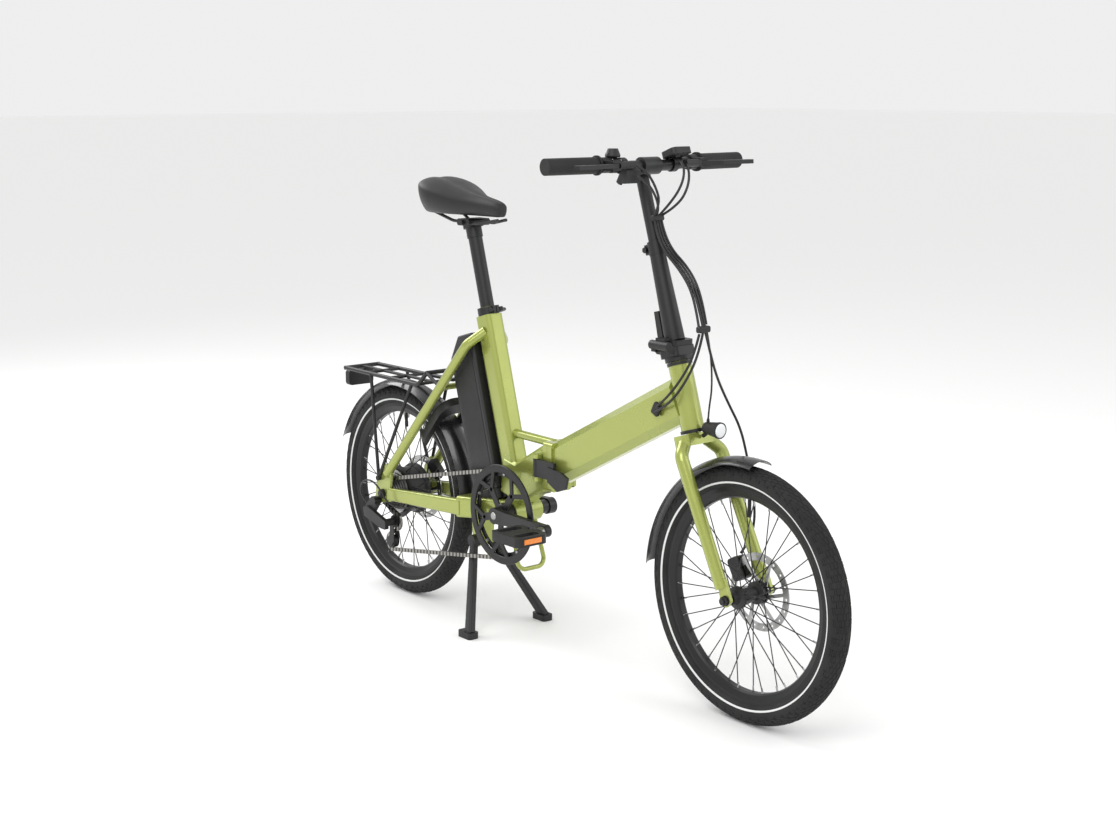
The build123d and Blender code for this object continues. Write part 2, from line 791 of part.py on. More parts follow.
def chain_line(offset):
    """The closed line of the chain, moved to its left by offset, as lines and arcs."""
    wheels = [(x, z, radius - turn * offset, turn) for x, z, radius, turn in chain_wheels]
    leaves, arrives = [], []
    for (x1, z1, r1, s1), (x2, z2, r2, s2) in zip(wheels, wheels[1:] + wheels[:1]):
        angle = atan2(z2 - z1, x2 - x1) - acos((s1 * r1 - s2 * r2) / hypot(x2 - x1, z2 - z1))
        leaves.append((x1 + s1 * r1 * cos(angle), z1 + s1 * r1 * sin(angle)))
        arrives.append((x2 + s2 * r2 * cos(angle), z2 + s2 * r2 * sin(angle)))
    with BuildLine() as line:
        for number, (x, z, radius, turn) in enumerate(wheels):
            Line(leaves[number - 1], arrives[number - 1])
            start, end = arrives[number - 1], leaves[number]
            from_angle = atan2(start[1] - z, start[0] - x)
            sweep_angle = (atan2(end[1] - z, end[0] - x) - from_angle) * turn % (2 * pi)
            middle = from_angle + turn * sweep_angle / 2
            ThreePointArc(start, (x + radius * cos(middle), z + radius * sin(middle)), end)
    return line.line


with BuildPart() as chain:
    with BuildSketch(side_plane(chain_y + chain_width / 2)):
        with BuildLine():
            add(chain_line(-chain_half_height))
        make_face()
        with BuildLine():
            add(chain_line(chain_half_height))
        make_face(mode=Mode.SUBTRACT)
    extrude(amount=chain_width)
write(chain.part, "chain")

# derailleur body: hanger bolt, knuckle and slanted parallelogram
with BuildPart() as derailleur:
    add(cross_cylinder(-579, 232, -90, -70.1, 9))
    add(side_plate(
        [(-592, 240), (-576, 240), (-570, 224), (-598, 190), (-622, 196), (-616, 216)], -86, -74, 3,
    ))
    add(side_plate(
        [(-620, 210), (-604, 216), (-526, 192), (-526, 172), (-546, 172), (-616, 190)], -92, -82, 3,
    ))
    add(cross_cylinder(guide_x, guide_z, -90, -63, 9))
    with BuildSketch(side_plane(-60)):
        with Locations((guide_x, guide_z)):
            Circle(4)
    extrude(amount=6)
write(derailleur.part, "derailleur")


# derailleur cage: two plates with the guide and tension pulleys between them
with BuildPart() as cage_outer:
    with BuildSketch(side_plane(-60.4)):
        with Locations((guide_x, guide_z), (tension_x, tension_z)):
            Circle(11)
        with Locations(((guide_x + tension_x) / 2, (guide_z + tension_z) / 2)):
            Rectangle(16, abs(guide_z - tension_z))
        with Locations((guide_x, guide_z)):
            Circle(4 + running_gap, mode=Mode.SUBTRACT)
    extrude(amount=2)
with BuildPart() as derailleur_cage:
    add(cage_outer.part)
    with BuildSketch(side_plane(-46)):
        with Locations((guide_x, guide_z), (tension_x, tension_z)):
            Circle(11)
        with Locations(((guide_x + tension_x) / 2, (guide_z + tension_z) / 2)):
            Rectangle(16, abs(guide_z - tension_z))
    extrude(amount=2)
    add(cross_cylinder(guide_x, guide_z, -60.4, -46, jockey_radius - 4.6, 4 + running_gap))
    add(cross_cylinder(tension_x, tension_z, -60.4, -46, jockey_radius - 4.6))
write(derailleur_cage.part, "derailleur_cage")


# ================= brake calipers =================
def caliper(x, z, disc_y, outer_y, tilt):
    """A caliper body astride the disc, with a mount that reaches the frame."""
    with BuildPart() as made:
        with BuildSketch(side_plane(outer_y)):
            with Locations(Location((x, z), tilt)):
                RectangleRounded(46, 30, 7)
        extrude(amount=outer_y - disc_y + 6.5)
        with BuildSketch(side_plane(disc_y + 2)):
            with Locations((rear_x if x < 0 else front_x, axle_z)):
                Circle(78)
        extrude(amount=4, mode=Mode.SUBTRACT)
    return made.part


write(caliper(-512, 302, 45.1, 54, 140), "rear_caliper")
write(caliper(505, 283, 32.9, 50.6, 120), "front_caliper")

# ================= stand =================
foot_x = -178
foot_y = 105
with BuildPart() as kickstand:
    add(cross_cylinder(stand_x, stand_z, -30, 30, 5))
    for side in (-1, 1):
        add(cross_cylinder(stand_x, stand_z, *sorted((side * 17.4, side * 34)), 14))
        leg_way = (foot_x - stand_x, side * 34, -stand_z)
        with BuildSketch(Plane(origin=(stand_x, side * 26, stand_z), x_dir=(0, 1, 0), z_dir=leg_way)):
            RectangleRounded(15, 18, 4)
        with BuildSketch(Plane(origin=(foot_x, side * foot_y, 10), x_dir=(0, 1, 0), z_dir=leg_way)):
            RectangleRounded(17, 24, 5)
        loft()
        with BuildSketch(Plane.XY):
            with Locations((foot_x - 6, side * foot_y)):
                RectangleRounded(46, 28, 8)
        extrude(amount=14)
write(kickstand.part, "kickstand")

# ================= front half of the frame =================
head_low = 328
head_high = 455
head_radius = 23
steerer_radius = 14.3
with BuildPart() as beam:
    with BuildSketch(beam_plane(-40)) as face:
        Rectangle(beam_height, beam_width)
        chamfer(face.vertices(), 15)
    extrude(amount=40 + 428)
    with BuildSketch(beam_plane(24)) as face:
        Rectangle(beam_height - 7, beam_width - 7)
        chamfer(face.vertices(), 13)
    extrude(amount=330, mode=Mode.SUBTRACT)
with BuildPart() as front_frame:
    add(beam.part)
    with BuildSketch(steer_plane(head_low)):
        Circle(head_radius)
    extrude(amount=head_high - head_low)
    with BuildSketch(steer_plane(head_low - 60)):
        Circle(18)
    extrude(amount=head_high - head_low + 120, mode=Mode.SUBTRACT)
    with BuildSketch(steer_plane(head_low - 80)):
        with Locations((55 + 18.5, 0)):
            Rectangle(110, 120)
    extrude(amount=head_high - head_low + 160, mode=Mode.SUBTRACT)
    with BuildSketch(Plane.XY.offset(200)):
        with Locations((hinge_face_gap - 100, 0)):
            Rectangle(200, 120)
    extrude(amount=400, mode=Mode.SUBTRACT)
    with BuildSketch(steer_plane(head_low)):
        Circle(head_radius)
        Circle(18, mode=Mode.SUBTRACT)
    extrude(amount=head_high - head_low)
    with BuildSketch(Plane(origin=(hinge_face_gap, -2, hinge_z), x_dir=(0, 1, 0), z_dir=(1, 0, 0))):
        RectangleRounded(56, hinge_height, 8)
    extrude(amount=plate_thick)
    with BuildSketch(Plane.XY.offset(hinge_low + 37)):
        with Locations((0, fold_pivot_y)):
            Circle(knuckle_radius)
        with Locations((5.3 + hinge_face_gap / 2, 30)):
            Rectangle(10, 20)
    extrude(amount=hinge_height - 74)
    with BuildSketch(Plane.XY.offset(hinge_low)):
        with Locations((0, fold_pivot_y)):
            Circle(pin_radius + running_gap)
    extrude(amount=hinge_height, mode=Mode.SUBTRACT)
write(front_frame.part, "front_frame")

# headset: upper and lower cups with their flanges
with BuildPart() as headset:
    for low, flange_low in ((head_low, head_low - 6), (head_high - 12, head_high)):
        with BuildSketch(steer_plane(low)):
            Circle(18)
            Circle(steerer_radius + running_gap, mode=Mode.SUBTRACT)
        extrude(amount=12)
        with BuildSketch(steer_plane(flange_low)):
            Circle(25)
            Circle(steerer_radius + running_gap, mode=Mode.SUBTRACT)
        extrude(amount=6)
write(headset.part, "headset")

# main latch: a flat paddle on an upright pivot, lying over the hinge on the right
with BuildPart() as main_latch:
    with BuildSketch(Plane.XY.offset(latch_z - 22)):
        with Locations((latch_x, latch_y)):
            Circle(8)
            Circle(3 + running_gap, mode=Mode.SUBTRACT)
        with Locations((latch_x + 34, latch_y - 2)):
            Rectangle(56, 8)
    extrude(amount=38)
    with BuildSketch(side_plane(latch_y - 1)):
        with BuildLine():
            Polyline((20, 378), (20, 410), (62, 405), (84, 396), (78, 372), (52, 362), close=True)
        make_face()
    extrude(amount=7)
write(main_latch.part, "main_latch")

# ================= fork =================


def fork_leg(side):
    """A leg from the crown, out round the tyre and down to its dropout."""
    top = steer_spot(305, side * 30, 2)
    knee = steer_spot(281, side * 53, 10)
    return tube([tuple(top), tuple(knee), (552, side * 55, 270)], 13, radii=[26])


with BuildPart() as fork:
    with BuildSketch(steer_plane(298)):
        RectangleRounded(40, 84, 12)
    extrude(amount=22)
    add(fork_leg(-1))
    add(fork_leg(1))
    for side in (-1, 1):
        add(side_plate(
            [(540, 292), (560, 290), (578, 250), (566, 236), (552, 242)], side * 51.5, side * 58.5, 3,
        ))
    with BuildSketch(steer_plane(318)):
        Circle(steerer_radius)
    extrude(amount=154)
    with BuildSketch(side_plane(70)):
        with Locations((front_x, axle_z)):
            Circle(6)
    extrude(amount=140, mode=Mode.SUBTRACT)
write(fork.part, "fork")
write(mudguard(front_x, 84, 177, 29), "front_mudguard")

# headlight on an arm from the fork crown
light_z = 554
with BuildPart() as headlight:
    with BuildSketch(Plane(origin=(445, 0, light_z), x_dir=(0, 1, 0), z_dir=(1, 0, 0))):
        Circle(11)
    with BuildSketch(Plane(origin=(480, 0, light_z), x_dir=(0, 1, 0), z_dir=(1, 0, 0))):
        Circle(15.5)
    loft()
    with BuildSketch(Plane(origin=(480, 0, light_z), x_dir=(0, 1, 0), z_dir=(1, 0, 0))):
        Circle(16)
    extrude(amount=5)
    add(tube([(438, 0, 537), (458, 0, light_z - 3)], 4))
write(headlight.part, "headlight")

# ================= handle post =================
post_low = 463
fold_z = 706
post_foot = Vector(358, 0, fold_z)
latch_hub_x, latch_hub_z = 325, 690
clamp_t = 700
bar_t = 848
tube_radius = 12.7
post_qr = steer_spot(clamp_t - 12, 0, -21)

with BuildPart() as stem_base:
    with BuildSketch(steer_plane(post_low)):
        Circle(27)
        Circle(steerer_radius, mode=Mode.SUBTRACT)
    extrude(amount=9)
    with BuildSketch(steer_plane(472)):
        RectangleRounded(50, 56, 10)
    extrude(amount=60)
    with BuildSketch(Plane.XY.offset(fold_z - 0.15)):
        with Locations((post_foot.X, 0)):
            Rectangle(200, 200)
    extrude(amount=80, mode=Mode.SUBTRACT)
    for shift in (-19, 19):
        with BuildSketch(Plane(origin=(post_foot.X + shift - 6, 0, 0), x_dir=(0, 1, 0), z_dir=(1, 0, 0))):
            with Locations((post_pivot_y, fold_z)):
                Circle(9)
            with Locations((-33, fold_z - 7)):
                Rectangle(16, 13.7)
        extrude(amount=12)
    with BuildSketch(Plane(origin=(post_foot.X - 24, 0, 0), x_dir=(0, 1, 0), z_dir=(1, 0, 0))):
        with Locations((post_pivot_y, fold_z)):
            Circle(3.5)
    extrude(amount=48)
    for side in (-1, 1):
        add(cross_cylinder(latch_hub_x, latch_hub_z, *sorted((side * 9.2, side * 17)), 7))
        add(side_plate([(325, 683), (348, 683), (348, 697), (325, 697)], *sorted((side * 9.2, side * 17))))
    add(cross_cylinder(latch_hub_x, latch_hub_z, -14, 14, 3))
write(stem_base.part, "stem_base")

with BuildPart() as handle_post:
    with BuildSketch(Plane.XY.offset(fold_z + 0.15)):
        with Locations((post_foot.X, -2)):
            RectangleRounded(52, 56, 10)
    extrude(amount=10)
    with BuildSketch(Plane(origin=(post_foot.X - 12.7, 0, 0), x_dir=(0, 1, 0), z_dir=(1, 0, 0))):
        with Locations((post_pivot_y, fold_z)):
            Circle(9)
        with Locations((-33, fold_z + 7)):
            Rectangle(16, 13.7)
    extrude(amount=25.4)
    with BuildSketch(steer_plane(504)):
        Circle(20)
    with BuildSketch(steer_plane(clamp_t - 26)):
        Circle(15.6)
    loft()
    with BuildSketch(steer_plane(clamp_t - 26)):
        Circle(16.5)
    extrude(amount=26)
    with BuildSketch(steer_plane(clamp_t - 22)):
        with Locations((-18, 0)):
            Rectangle(14, 16)
    extrude(amount=20)
    with BuildSketch(Plane.XY.offset(fold_z - 20)):
        with Locations((post_foot.X, 20)):
            Rectangle(80, 110)
    extrude(amount=20.15, mode=Mode.SUBTRACT)
    for shift in (-19, 19):
        with BuildSketch(Plane(origin=(post_foot.X + shift - 6.3, 0, 0), x_dir=(0, 1, 0), z_dir=(1, 0, 0))):
            with Locations((post_pivot_y, fold_z)):
                Circle(9.4)
        extrude(amount=12.6, mode=Mode.SUBTRACT)
    with BuildSketch(Plane(origin=(post_foot.X - 30, 0, 0), x_dir=(0, 1, 0), z_dir=(1, 0, 0))):
        with Locations((post_pivot_y, fold_z)):
            Circle(3.5 + running_gap)
    extrude(amount=60, mode=Mode.SUBTRACT)
    with BuildSketch(steer_plane(520)):
        Circle(tube_radius + running_gap)
    extrude(amount=200, mode=Mode.SUBTRACT)
    with BuildSketch(steer_plane(clamp_t - 40)):
        with Locations((-24, 0)):
            Rectangle(24, 1.6)
    extrude(amount=60, mode=Mode.SUBTRACT)
    with BuildSketch(Plane(origin=post_qr + Vector(0, 8, 0), z_dir=(0, -1, 0))):
        Circle(2.5)
    extrude(amount=16)
    with BuildSketch(Plane(origin=post_qr + Vector(0, -8, 0), z_dir=(0, -1, 0))):
        RegularPolygon(6, 6)
    extrude(amount=6)
write(handle_post.part, "handle_post")

# stem latch: a lever behind the block, closed when it stands up along the post
with BuildPart() as stem_latch:
    add(cross_cylinder(latch_hub_x, latch_hub_z, -9, 9, 7.5, 3 + running_gap))
    with BuildSketch(side_plane(8)):
        with BuildLine():
            Polyline((318, 686), (330, 696), (329, 720), (316, 766), (304, 763), (315, 716), close=True)
        make_face()
    extrude(amount=16)
    with BuildSketch(side_plane(20)):
        with Locations((latch_hub_x, latch_hub_z)):
            Circle(3 + running_gap)
    extrude(amount=40, mode=Mode.SUBTRACT)
write(stem_latch.part, "stem_latch")

# quick-release of the telescopic tube: cam barrel beside the ears and a curved lever
with BuildPart() as post_lever:
    barrel = post_qr + Vector(0, cam_y, 0) - steer_up * 5
    with BuildSketch(Plane(origin=barrel, x_dir=steer_front, z_dir=steer_up)):
        Circle(5)
    extrude(amount=10)
    blade = [post_qr + Vector(0, cam_y, 0), post_qr + Vector(20, 27, -7), post_qr + Vector(56, 27, -16)]
    add(tube(blade, 3.6, radii=[20]))
write(post_lever.part, "post_lever")

# telescopic upper tube
with BuildPart() as upper_tube:
    with BuildSketch(steer_plane(624)):
        Circle(tube_radius)
        Circle(tube_radius - 2, mode=Mode.SUBTRACT)
    extrude(amount=bar_t + 8 - 624)
write(upper_tube.part, "upper_tube")

# ================= handlebar =================
bar_radius = 11
grip_radius = 16
bar_x, bar_z = 276, 1044
bar_points = [
    (bar_x - 10, -grip_end_y + 4, bar_z + 4), (bar_x - 1, -104, bar_z + 4), (bar_x, -56, bar_z),
    (bar_x, 56, bar_z), (bar_x - 1, 104, bar_z + 4), (bar_x - 10, grip_end_y - 4, bar_z + 4),
]
with BuildPart() as handlebar:
    add(tube(bar_points, bar_radius, radii=[60, 60, 60, 60]))
    with BuildSketch(Plane(origin=(bar_x, 22, bar_z), z_dir=(0, -1, 0))):
        Circle(17)
    extrude(amount=44)
    with BuildSketch(steer_plane(bar_t - 22)):
        Circle(17)
    extrude(amount=34)
    with BuildSketch(steer_plane(bar_t - 12)):
        with Locations((14, 0)):
            Rectangle(22, 34)
    extrude(amount=22)
    with BuildSketch(steer_plane(bar_t - 30)):
        Circle(tube_radius + running_gap)
    extrude(amount=38.2, mode=Mode.SUBTRACT)
write(handlebar.part, "handlebar")


def bar_at(y):
    """The centre of the straight outer part of the bar at y."""
    return Vector(bar_x - 1 - 9 * (abs(y) - 104) / (grip_end_y - 108), y, bar_z + 4)


def sleeve(y_in, y_out, outer, bore=bar_radius):
    """A sleeve on the outer part of the bar between two y values."""
    low, high = bar_at(y_in), bar_at(y_out)
    return tube([low, high], outer, bore=bore)


with BuildPart() as grips:
    for side in (-1, 1):
        add(sleeve(side * 132, side * (grip_end_y - 4), grip_radius))
        add(tube([bar_at(side * (grip_end_y - 4)), bar_at(side * grip_end_y)], grip_radius))
        add(sleeve(side * 128, side * 132, grip_radius + 3))
write(grips.part, "grips")

lever_x = bar_x + 27
lever_y = 113


def perch(side):
    """A brake perch: a clamp on the bar, a master-cylinder body and a slotted ear for the lever."""
    with BuildPart() as made:
        add(sleeve(side * 104, side * 122, 15))
        with BuildSketch(Plane.XY.offset(bar_z - 5)):
            with Locations((bar_x + 24, side * lever_y)):
                Rectangle(26, 20)
        extrude(amount=18)
        spot_out = (bar_x + 32, side * 108, bar_z + 4)
        with BuildSketch(Plane(origin=spot_out, x_dir=(1, 0, 0), z_dir=(0, -side, 0))):
            Circle(7.5)
        extrude(amount=42)
        with BuildSketch(Plane.XY.offset(bar_z - 0.3)):
            with Locations((lever_x + 12, side * (lever_y + 8))):
                Rectangle(46, 32)
        extrude(amount=8.6, mode=Mode.SUBTRACT)
        with BuildSketch(Plane.XY.offset(bar_z - 4)):
            with Locations((lever_x, side * lever_y)):
                Circle(2.5)
        extrude(amount=16)
    return made.part


def brake_lever(side):
    """A two-finger brake blade on an upright pivot."""
    with BuildPart() as made:
        with BuildSketch(Plane.XY.offset(bar_z)) as face:
            with BuildLine():
                Polyline(
                    (lever_x - 6, side * 108), (lever_x + 10, side * 106), (lever_x + 26, side * 150),
                    (lever_x + 34, side * 226), (lever_x + 28, side * 232), (lever_x + 18, side * 226),
                    (lever_x + 14, side * 152), (lever_x - 5, side * 119), close=True,
                )
            make_face()
            fillet(face.vertices(), 2.5)
            with Locations((lever_x, side * lever_y)):
                Circle(2.5 + running_gap, mode=Mode.SUBTRACT)
        extrude(amount=8)
    return made.part


write(brake_lever(-1), "brake_lever_right")
write(brake_lever(1), "brake_lever_left")

# display on the left of the clamp, shifter and bell on the right
with BuildPart() as display:
    with BuildSketch(Plane(origin=(bar_x + 14, 62, bar_z + 18), x_dir=(0, 1, 0), z_dir=(-0.35, 0, 0.94))):
        RectangleRounded(50, 40, 9)
    extrude(amount=12)
    with BuildSketch(Plane(origin=(bar_x, 68, bar_z + 2), z_dir=(0, -1, 0))):
        Circle(15.5)
        Circle(bar_radius + 2.6, mode=Mode.SUBTRACT)
    extrude(amount=12)
    with BuildSketch(Plane(origin=(bar_x + 9, 62, bar_z + 15.2), z_dir=(0, 0, 1))):
        Rectangle(14, 12)
    extrude(amount=8)

with BuildPart() as shifter:
    with BuildSketch(Plane(origin=(bar_x, -64, bar_z + 2), z_dir=(0, -1, 0))):
        Circle(15.5)
        Circle(bar_radius + 2.6, mode=Mode.SUBTRACT)
    extrude(amount=12)
    with BuildSketch(Plane(origin=(bar_x + 20, -48, bar_z - 16), z_dir=(0, -1, 0))):
        RectangleRounded(30, 20, 6)
    extrude(amount=34)
    with BuildSketch(Plane(origin=(bar_x + 4, -70, bar_z - 14), z_dir=(-0.5, 0, -0.86))):
        SlotOverall(14, 10)
    extrude(amount=20)

with BuildPart() as bell:
    add(sleeve(-86, -98, 15.5, bar_radius + 2.8))
    with BuildSketch(Plane.XY.offset(bar_z + 15)):
        with Locations((bar_x, -92)):
            Circle(5)
    extrude(amount=8)
    with BuildSketch(Plane.XY.offset(bar_z + 22)):
        with Locations((bar_x, -92)):
            Circle(15)
    extrude(amount=13, taper=22)
with BuildPart() as bar_controls:
    for piece in (perch(-1), perch(1), display.part, shifter.part, bell.part):
        add(piece)
    add(tube(bar_points, bar_radius + 0.3, radii=[60, 60, 60, 60]), mode=Mode.SUBTRACT)
write(bar_controls.part, "bar_controls")

# ================= cables =================
# Free cables: from the bar to a tie on the post, past the post hinge to the fork head, and
# on to the port in the beam. The brake hose and lamp lead end on the fork.
hose_radius = 2.5
tie_t = 742
tie_front = 20


def cable(points, radius=hose_radius):
    radii = bend_radii(points)
    print("cable radii", [round(r) for r in radii])
    return tube(points, radius, radii=radii)


tie_gap = 3


def tie_spot(y, rise):
    """The place of one cable at the tie, a little above or below its middle."""
    return tuple(steer_spot(tie_t + rise, y, tie_front))


tie_sides = [-9, -3, 3, 9]
upper_starts = [
    [(bar_x + 32, -63.6, bar_z + 4), (322, -50, 1040), (334, -34, 1008), (328, -16, 974)],
    [(bar_x + 35.4, -62, bar_z - 16), (328, -52, 1018), (330, -30, 990), (318, -10, 962)],
    [(304, 50, 1056), (328, 44, 1050), (342, 32, 1018), (334, 12, 980)],
    [(bar_x + 32, 63.6, bar_z + 4), (334, 52, 1044), (350, 38, 1008), (340, 20, 970)],
]
with BuildPart() as cables_upper:
    for route, y in zip(upper_starts, tie_sides):
        add(cable([*route, tie_spot(y, tie_gap)]))
write(cables_upper.part, "cables_upper")

meet_spots = [(444, -20, 742), (447, -13, 746), (444, -6, 750), (441, 1, 752)]
below_gap = Vector(0, 0, -6)
with BuildPart() as cables_middle:
    for number, (y, end) in enumerate(zip(tie_sides, meet_spots)):
        start = Vector(*tie_spot(y, -tie_gap))
        spread = number * 4 - 6
        add(cable([
            tuple(start),
            tuple(start + Vector(12, spread / 3, -46)),
            (386 + spread / 2, spread * 1.2, 848 + spread / 2),
            (424 + spread / 2, spread - 4, 800 + spread / 2),
            end,
        ]))

port_left = [(440, -30, 692), (414, -40, 644), (376, -42, 604), (342, -34, 583)]
port_right = [(448, -24, 698), (424, -38, 638), (382, -46, 590), (336, -34, 572)]
lower_starts = [tuple(Vector(*spot_above) + below_gap) for spot_above in meet_spots]
with BuildPart() as cables_lower:
    add(cable([lower_starts[0], *port_left]))
    add(cable([lower_starts[1], *port_right]))
write(cables_lower.part, "cables_lower")

brake_route = [
    lower_starts[2], (449, 4, 700), (452, 20, 650), (458, 46, 598), (467, 72, 548), (480, 79, 490),
    (497, 79, 430), (509, 74, 376), (511, 60, 336), (499, 46, 310),
]
lamp_route = [lower_starts[3], (444, 9, 706), (449, 10, 660), (453, 6, 622), (452, 1, 594), (451, 0, 570)]
with BuildPart() as cables_fork:
    add(cables_middle.part)
    add(cable(brake_route))
    add(cable(lamp_route, 1.8))
write(cables_fork.part, "cables_fork")

# rear shift housing: out of the chainstay, round over the dropout to the derailleur
shift_route = [
    (-470, -64, 232), (-500, -74, 226), (-526, -86, 238), (-544, -92, 266), (-570, -96, 284),
    (-604, -96, 280), (-628, -92, 262), (-636, -86, 238), (-623, -80, 220),
]
# rear brake hose: along the left chainstay to the caliper
hose_route = [(-330, 58, 287), (-372, 66, 290), (-416, 73, 289), (-456, 72, 293), (-486, 58, 304)]
with BuildPart() as cables_rear:
    add(cable(shift_route, 2.2))
    add(cable(hose_route, 2.2))
write(cables_rear.part, "cables_rear")
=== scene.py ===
from math import atan2, cos, hypot, pi, radians, sin, tan

import bmesh
import bpy
from mathutils import Matrix, Vector


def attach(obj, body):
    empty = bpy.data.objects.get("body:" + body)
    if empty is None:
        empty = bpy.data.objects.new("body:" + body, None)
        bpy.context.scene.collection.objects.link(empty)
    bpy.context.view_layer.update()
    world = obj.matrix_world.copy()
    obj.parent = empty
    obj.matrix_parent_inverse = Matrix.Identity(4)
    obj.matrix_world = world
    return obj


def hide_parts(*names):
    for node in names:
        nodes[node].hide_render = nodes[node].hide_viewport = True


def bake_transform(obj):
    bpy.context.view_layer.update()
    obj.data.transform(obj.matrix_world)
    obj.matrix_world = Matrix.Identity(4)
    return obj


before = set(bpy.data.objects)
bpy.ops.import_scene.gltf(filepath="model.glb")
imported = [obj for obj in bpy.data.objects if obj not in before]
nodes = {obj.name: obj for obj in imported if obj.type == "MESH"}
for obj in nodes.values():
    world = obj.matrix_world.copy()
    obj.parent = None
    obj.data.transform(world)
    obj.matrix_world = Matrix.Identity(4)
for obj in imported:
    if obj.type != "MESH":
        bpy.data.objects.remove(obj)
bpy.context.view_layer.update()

# ---- camera, floor and light ----
# A standing view from ahead of the bicycle on its drive side, a little above the bar,
# in a pale room with one large soft key light, a fill and a rim light.
camera_data = bpy.data.cameras.new("camera")
camera_data.lens = 56
camera_data.sensor_width = 36
camera = bpy.data.objects.new("camera", camera_data)
bpy.context.collection.objects.link(camera)
camera_place = Vector((2.78, -2.28, 1.20))
camera_aim = Vector((0.0, 0.0, 0.53))
camera.location = camera_place
camera.rotation_euler = (camera_aim - camera_place).to_track_quat("-Z", "Y").to_euler()
bpy.context.scene.camera = camera
bpy.context.scene.view_settings.view_transform = "Standard"

floor_shape = bmesh.new()
bmesh.ops.create_grid(floor_shape, x_segments=2, y_segments=2, size=60)
floor_mesh = bpy.data.meshes.new("floor")
floor_shape.to_mesh(floor_mesh)
floor_shape.free()
floor = bpy.data.objects.new("floor", floor_mesh)
bpy.context.collection.objects.link(floor)
floor_finish = bpy.data.materials.new("floor")
floor_finish.use_nodes = True
floor_shader = floor_finish.node_tree.nodes["Principled BSDF"]
floor_shader.inputs["Base Color"].default_value = (0.96, 0.96, 0.955, 1)
floor_shader.inputs["Roughness"].default_value = 0.7
floor_mesh.materials.append(floor_finish)

for light_name, place, size, power in (
    ("key", (1.6, -2.6, 3.4), 2.4, 62),
    ("fill", (2.8, 2.4, 2.2), 2.6, 22),
    ("rim", (-3.0, -0.6, 2.8), 2.0, 60),
):
    light_data = bpy.data.lights.new(light_name, "AREA")
    light_data.size = size
    light_data.energy = power
    light = bpy.data.objects.new(light_name, light_data)
    light.location = place
    light.rotation_euler = (Vector((0, 0, 0.5)) - Vector(place)).to_track_quat("-Z", "Y").to_euler()
    bpy.context.collection.objects.link(light)
world = bpy.data.worlds.new("room")
world.use_nodes = True
world.node_tree.nodes["Background"].inputs["Color"].default_value = (1.0, 1.0, 1.0, 1)
world.node_tree.nodes["Background"].inputs["Strength"].default_value = 0.86
bpy.context.scene.world = world

# ---- painted frame and fork ----
# Welded aluminium tubes with a metallic lime base coat under clear lacquer. Fine flakes show
# close up, and handling dulls the lacquer in soft patches.
wear = bpy.data.node_groups.new("wear", "ShaderNodeTree")
for socket, kind, value in (
    ("Base", "NodeSocketColor", (0.5, 0.5, 0.5, 1)), ("Worn", "NodeSocketColor", (0.6, 0.6, 0.6, 1)),
    ("Grain", "NodeSocketFloat", 400.0), ("Smooth", "NodeSocketFloat", 0.3), ("Rough", "NodeSocketFloat", 0.5),
):
    made = wear.interface.new_socket(socket, in_out="INPUT", socket_type=kind)
    made.default_value = value
for socket, kind in (
    ("Colour", "NodeSocketColor"), ("Roughness", "NodeSocketFloat"), ("Height", "NodeSocketFloat"),
):
    wear.interface.new_socket(socket, in_out="OUTPUT", socket_type=kind)
enter = wear.nodes.new("NodeGroupInput")
leave = wear.nodes.new("NodeGroupOutput")
where = wear.nodes.new("ShaderNodeTexCoord")
grain = wear.nodes.new("ShaderNodeTexNoise")
grain.inputs["Detail"].default_value = 3
patches = wear.nodes.new("ShaderNodeTexNoise")
patches.inputs["Scale"].default_value = 14
patches.inputs["Detail"].default_value = 6
corners = wear.nodes.new("ShaderNodeNewGeometry")
corner_mask = wear.nodes.new("ShaderNodeValToRGB")
corner_mask.color_ramp.elements[0].position = 0.62
corner_mask.color_ramp.elements[1].position = 0.92
tone = wear.nodes.new("ShaderNodeMix")
tone.data_type = "RGBA"
dulling = wear.nodes.new("ShaderNodeMapRange")
wear.links.new(where.outputs["Object"], grain.inputs["Vector"])
wear.links.new(where.outputs["Object"], patches.inputs["Vector"])
wear.links.new(enter.outputs["Grain"], grain.inputs["Scale"])
wear.links.new(corners.outputs["Pointiness"], corner_mask.inputs["Fac"])
mask = wear.nodes.new("ShaderNodeMath")
mask.operation = "MULTIPLY"
wear.links.new(corner_mask.outputs["Color"], mask.inputs[0])
wear.links.new(patches.outputs["Fac"], mask.inputs[1])
speck = wear.nodes.new("ShaderNodeMath")
speck.operation = "MULTIPLY_ADD"
speck.inputs[1].default_value = 0.14
wear.links.new(grain.outputs["Fac"], speck.inputs[0])
wear.links.new(mask.outputs["Value"], speck.inputs[2])
wear.links.new(speck.outputs["Value"], tone.inputs["Factor"])
wear.links.new(enter.outputs["Base"], tone.inputs["A"])
wear.links.new(enter.outputs["Worn"], tone.inputs["B"])
wear.links.new(patches.outputs["Fac"], dulling.inputs["Value"])
dulling.inputs["From Min"].default_value = 0.3
dulling.inputs["From Max"].default_value = 0.7
wear.links.new(enter.outputs["Smooth"], dulling.inputs["To Min"])
wear.links.new(enter.outputs["Rough"], dulling.inputs["To Max"])
wear.links.new(tone.outputs["Result"], leave.inputs["Colour"])
wear.links.new(dulling.outputs["Result"], leave.inputs["Roughness"])
wear.links.new(grain.outputs["Fac"], leave.inputs["Height"])


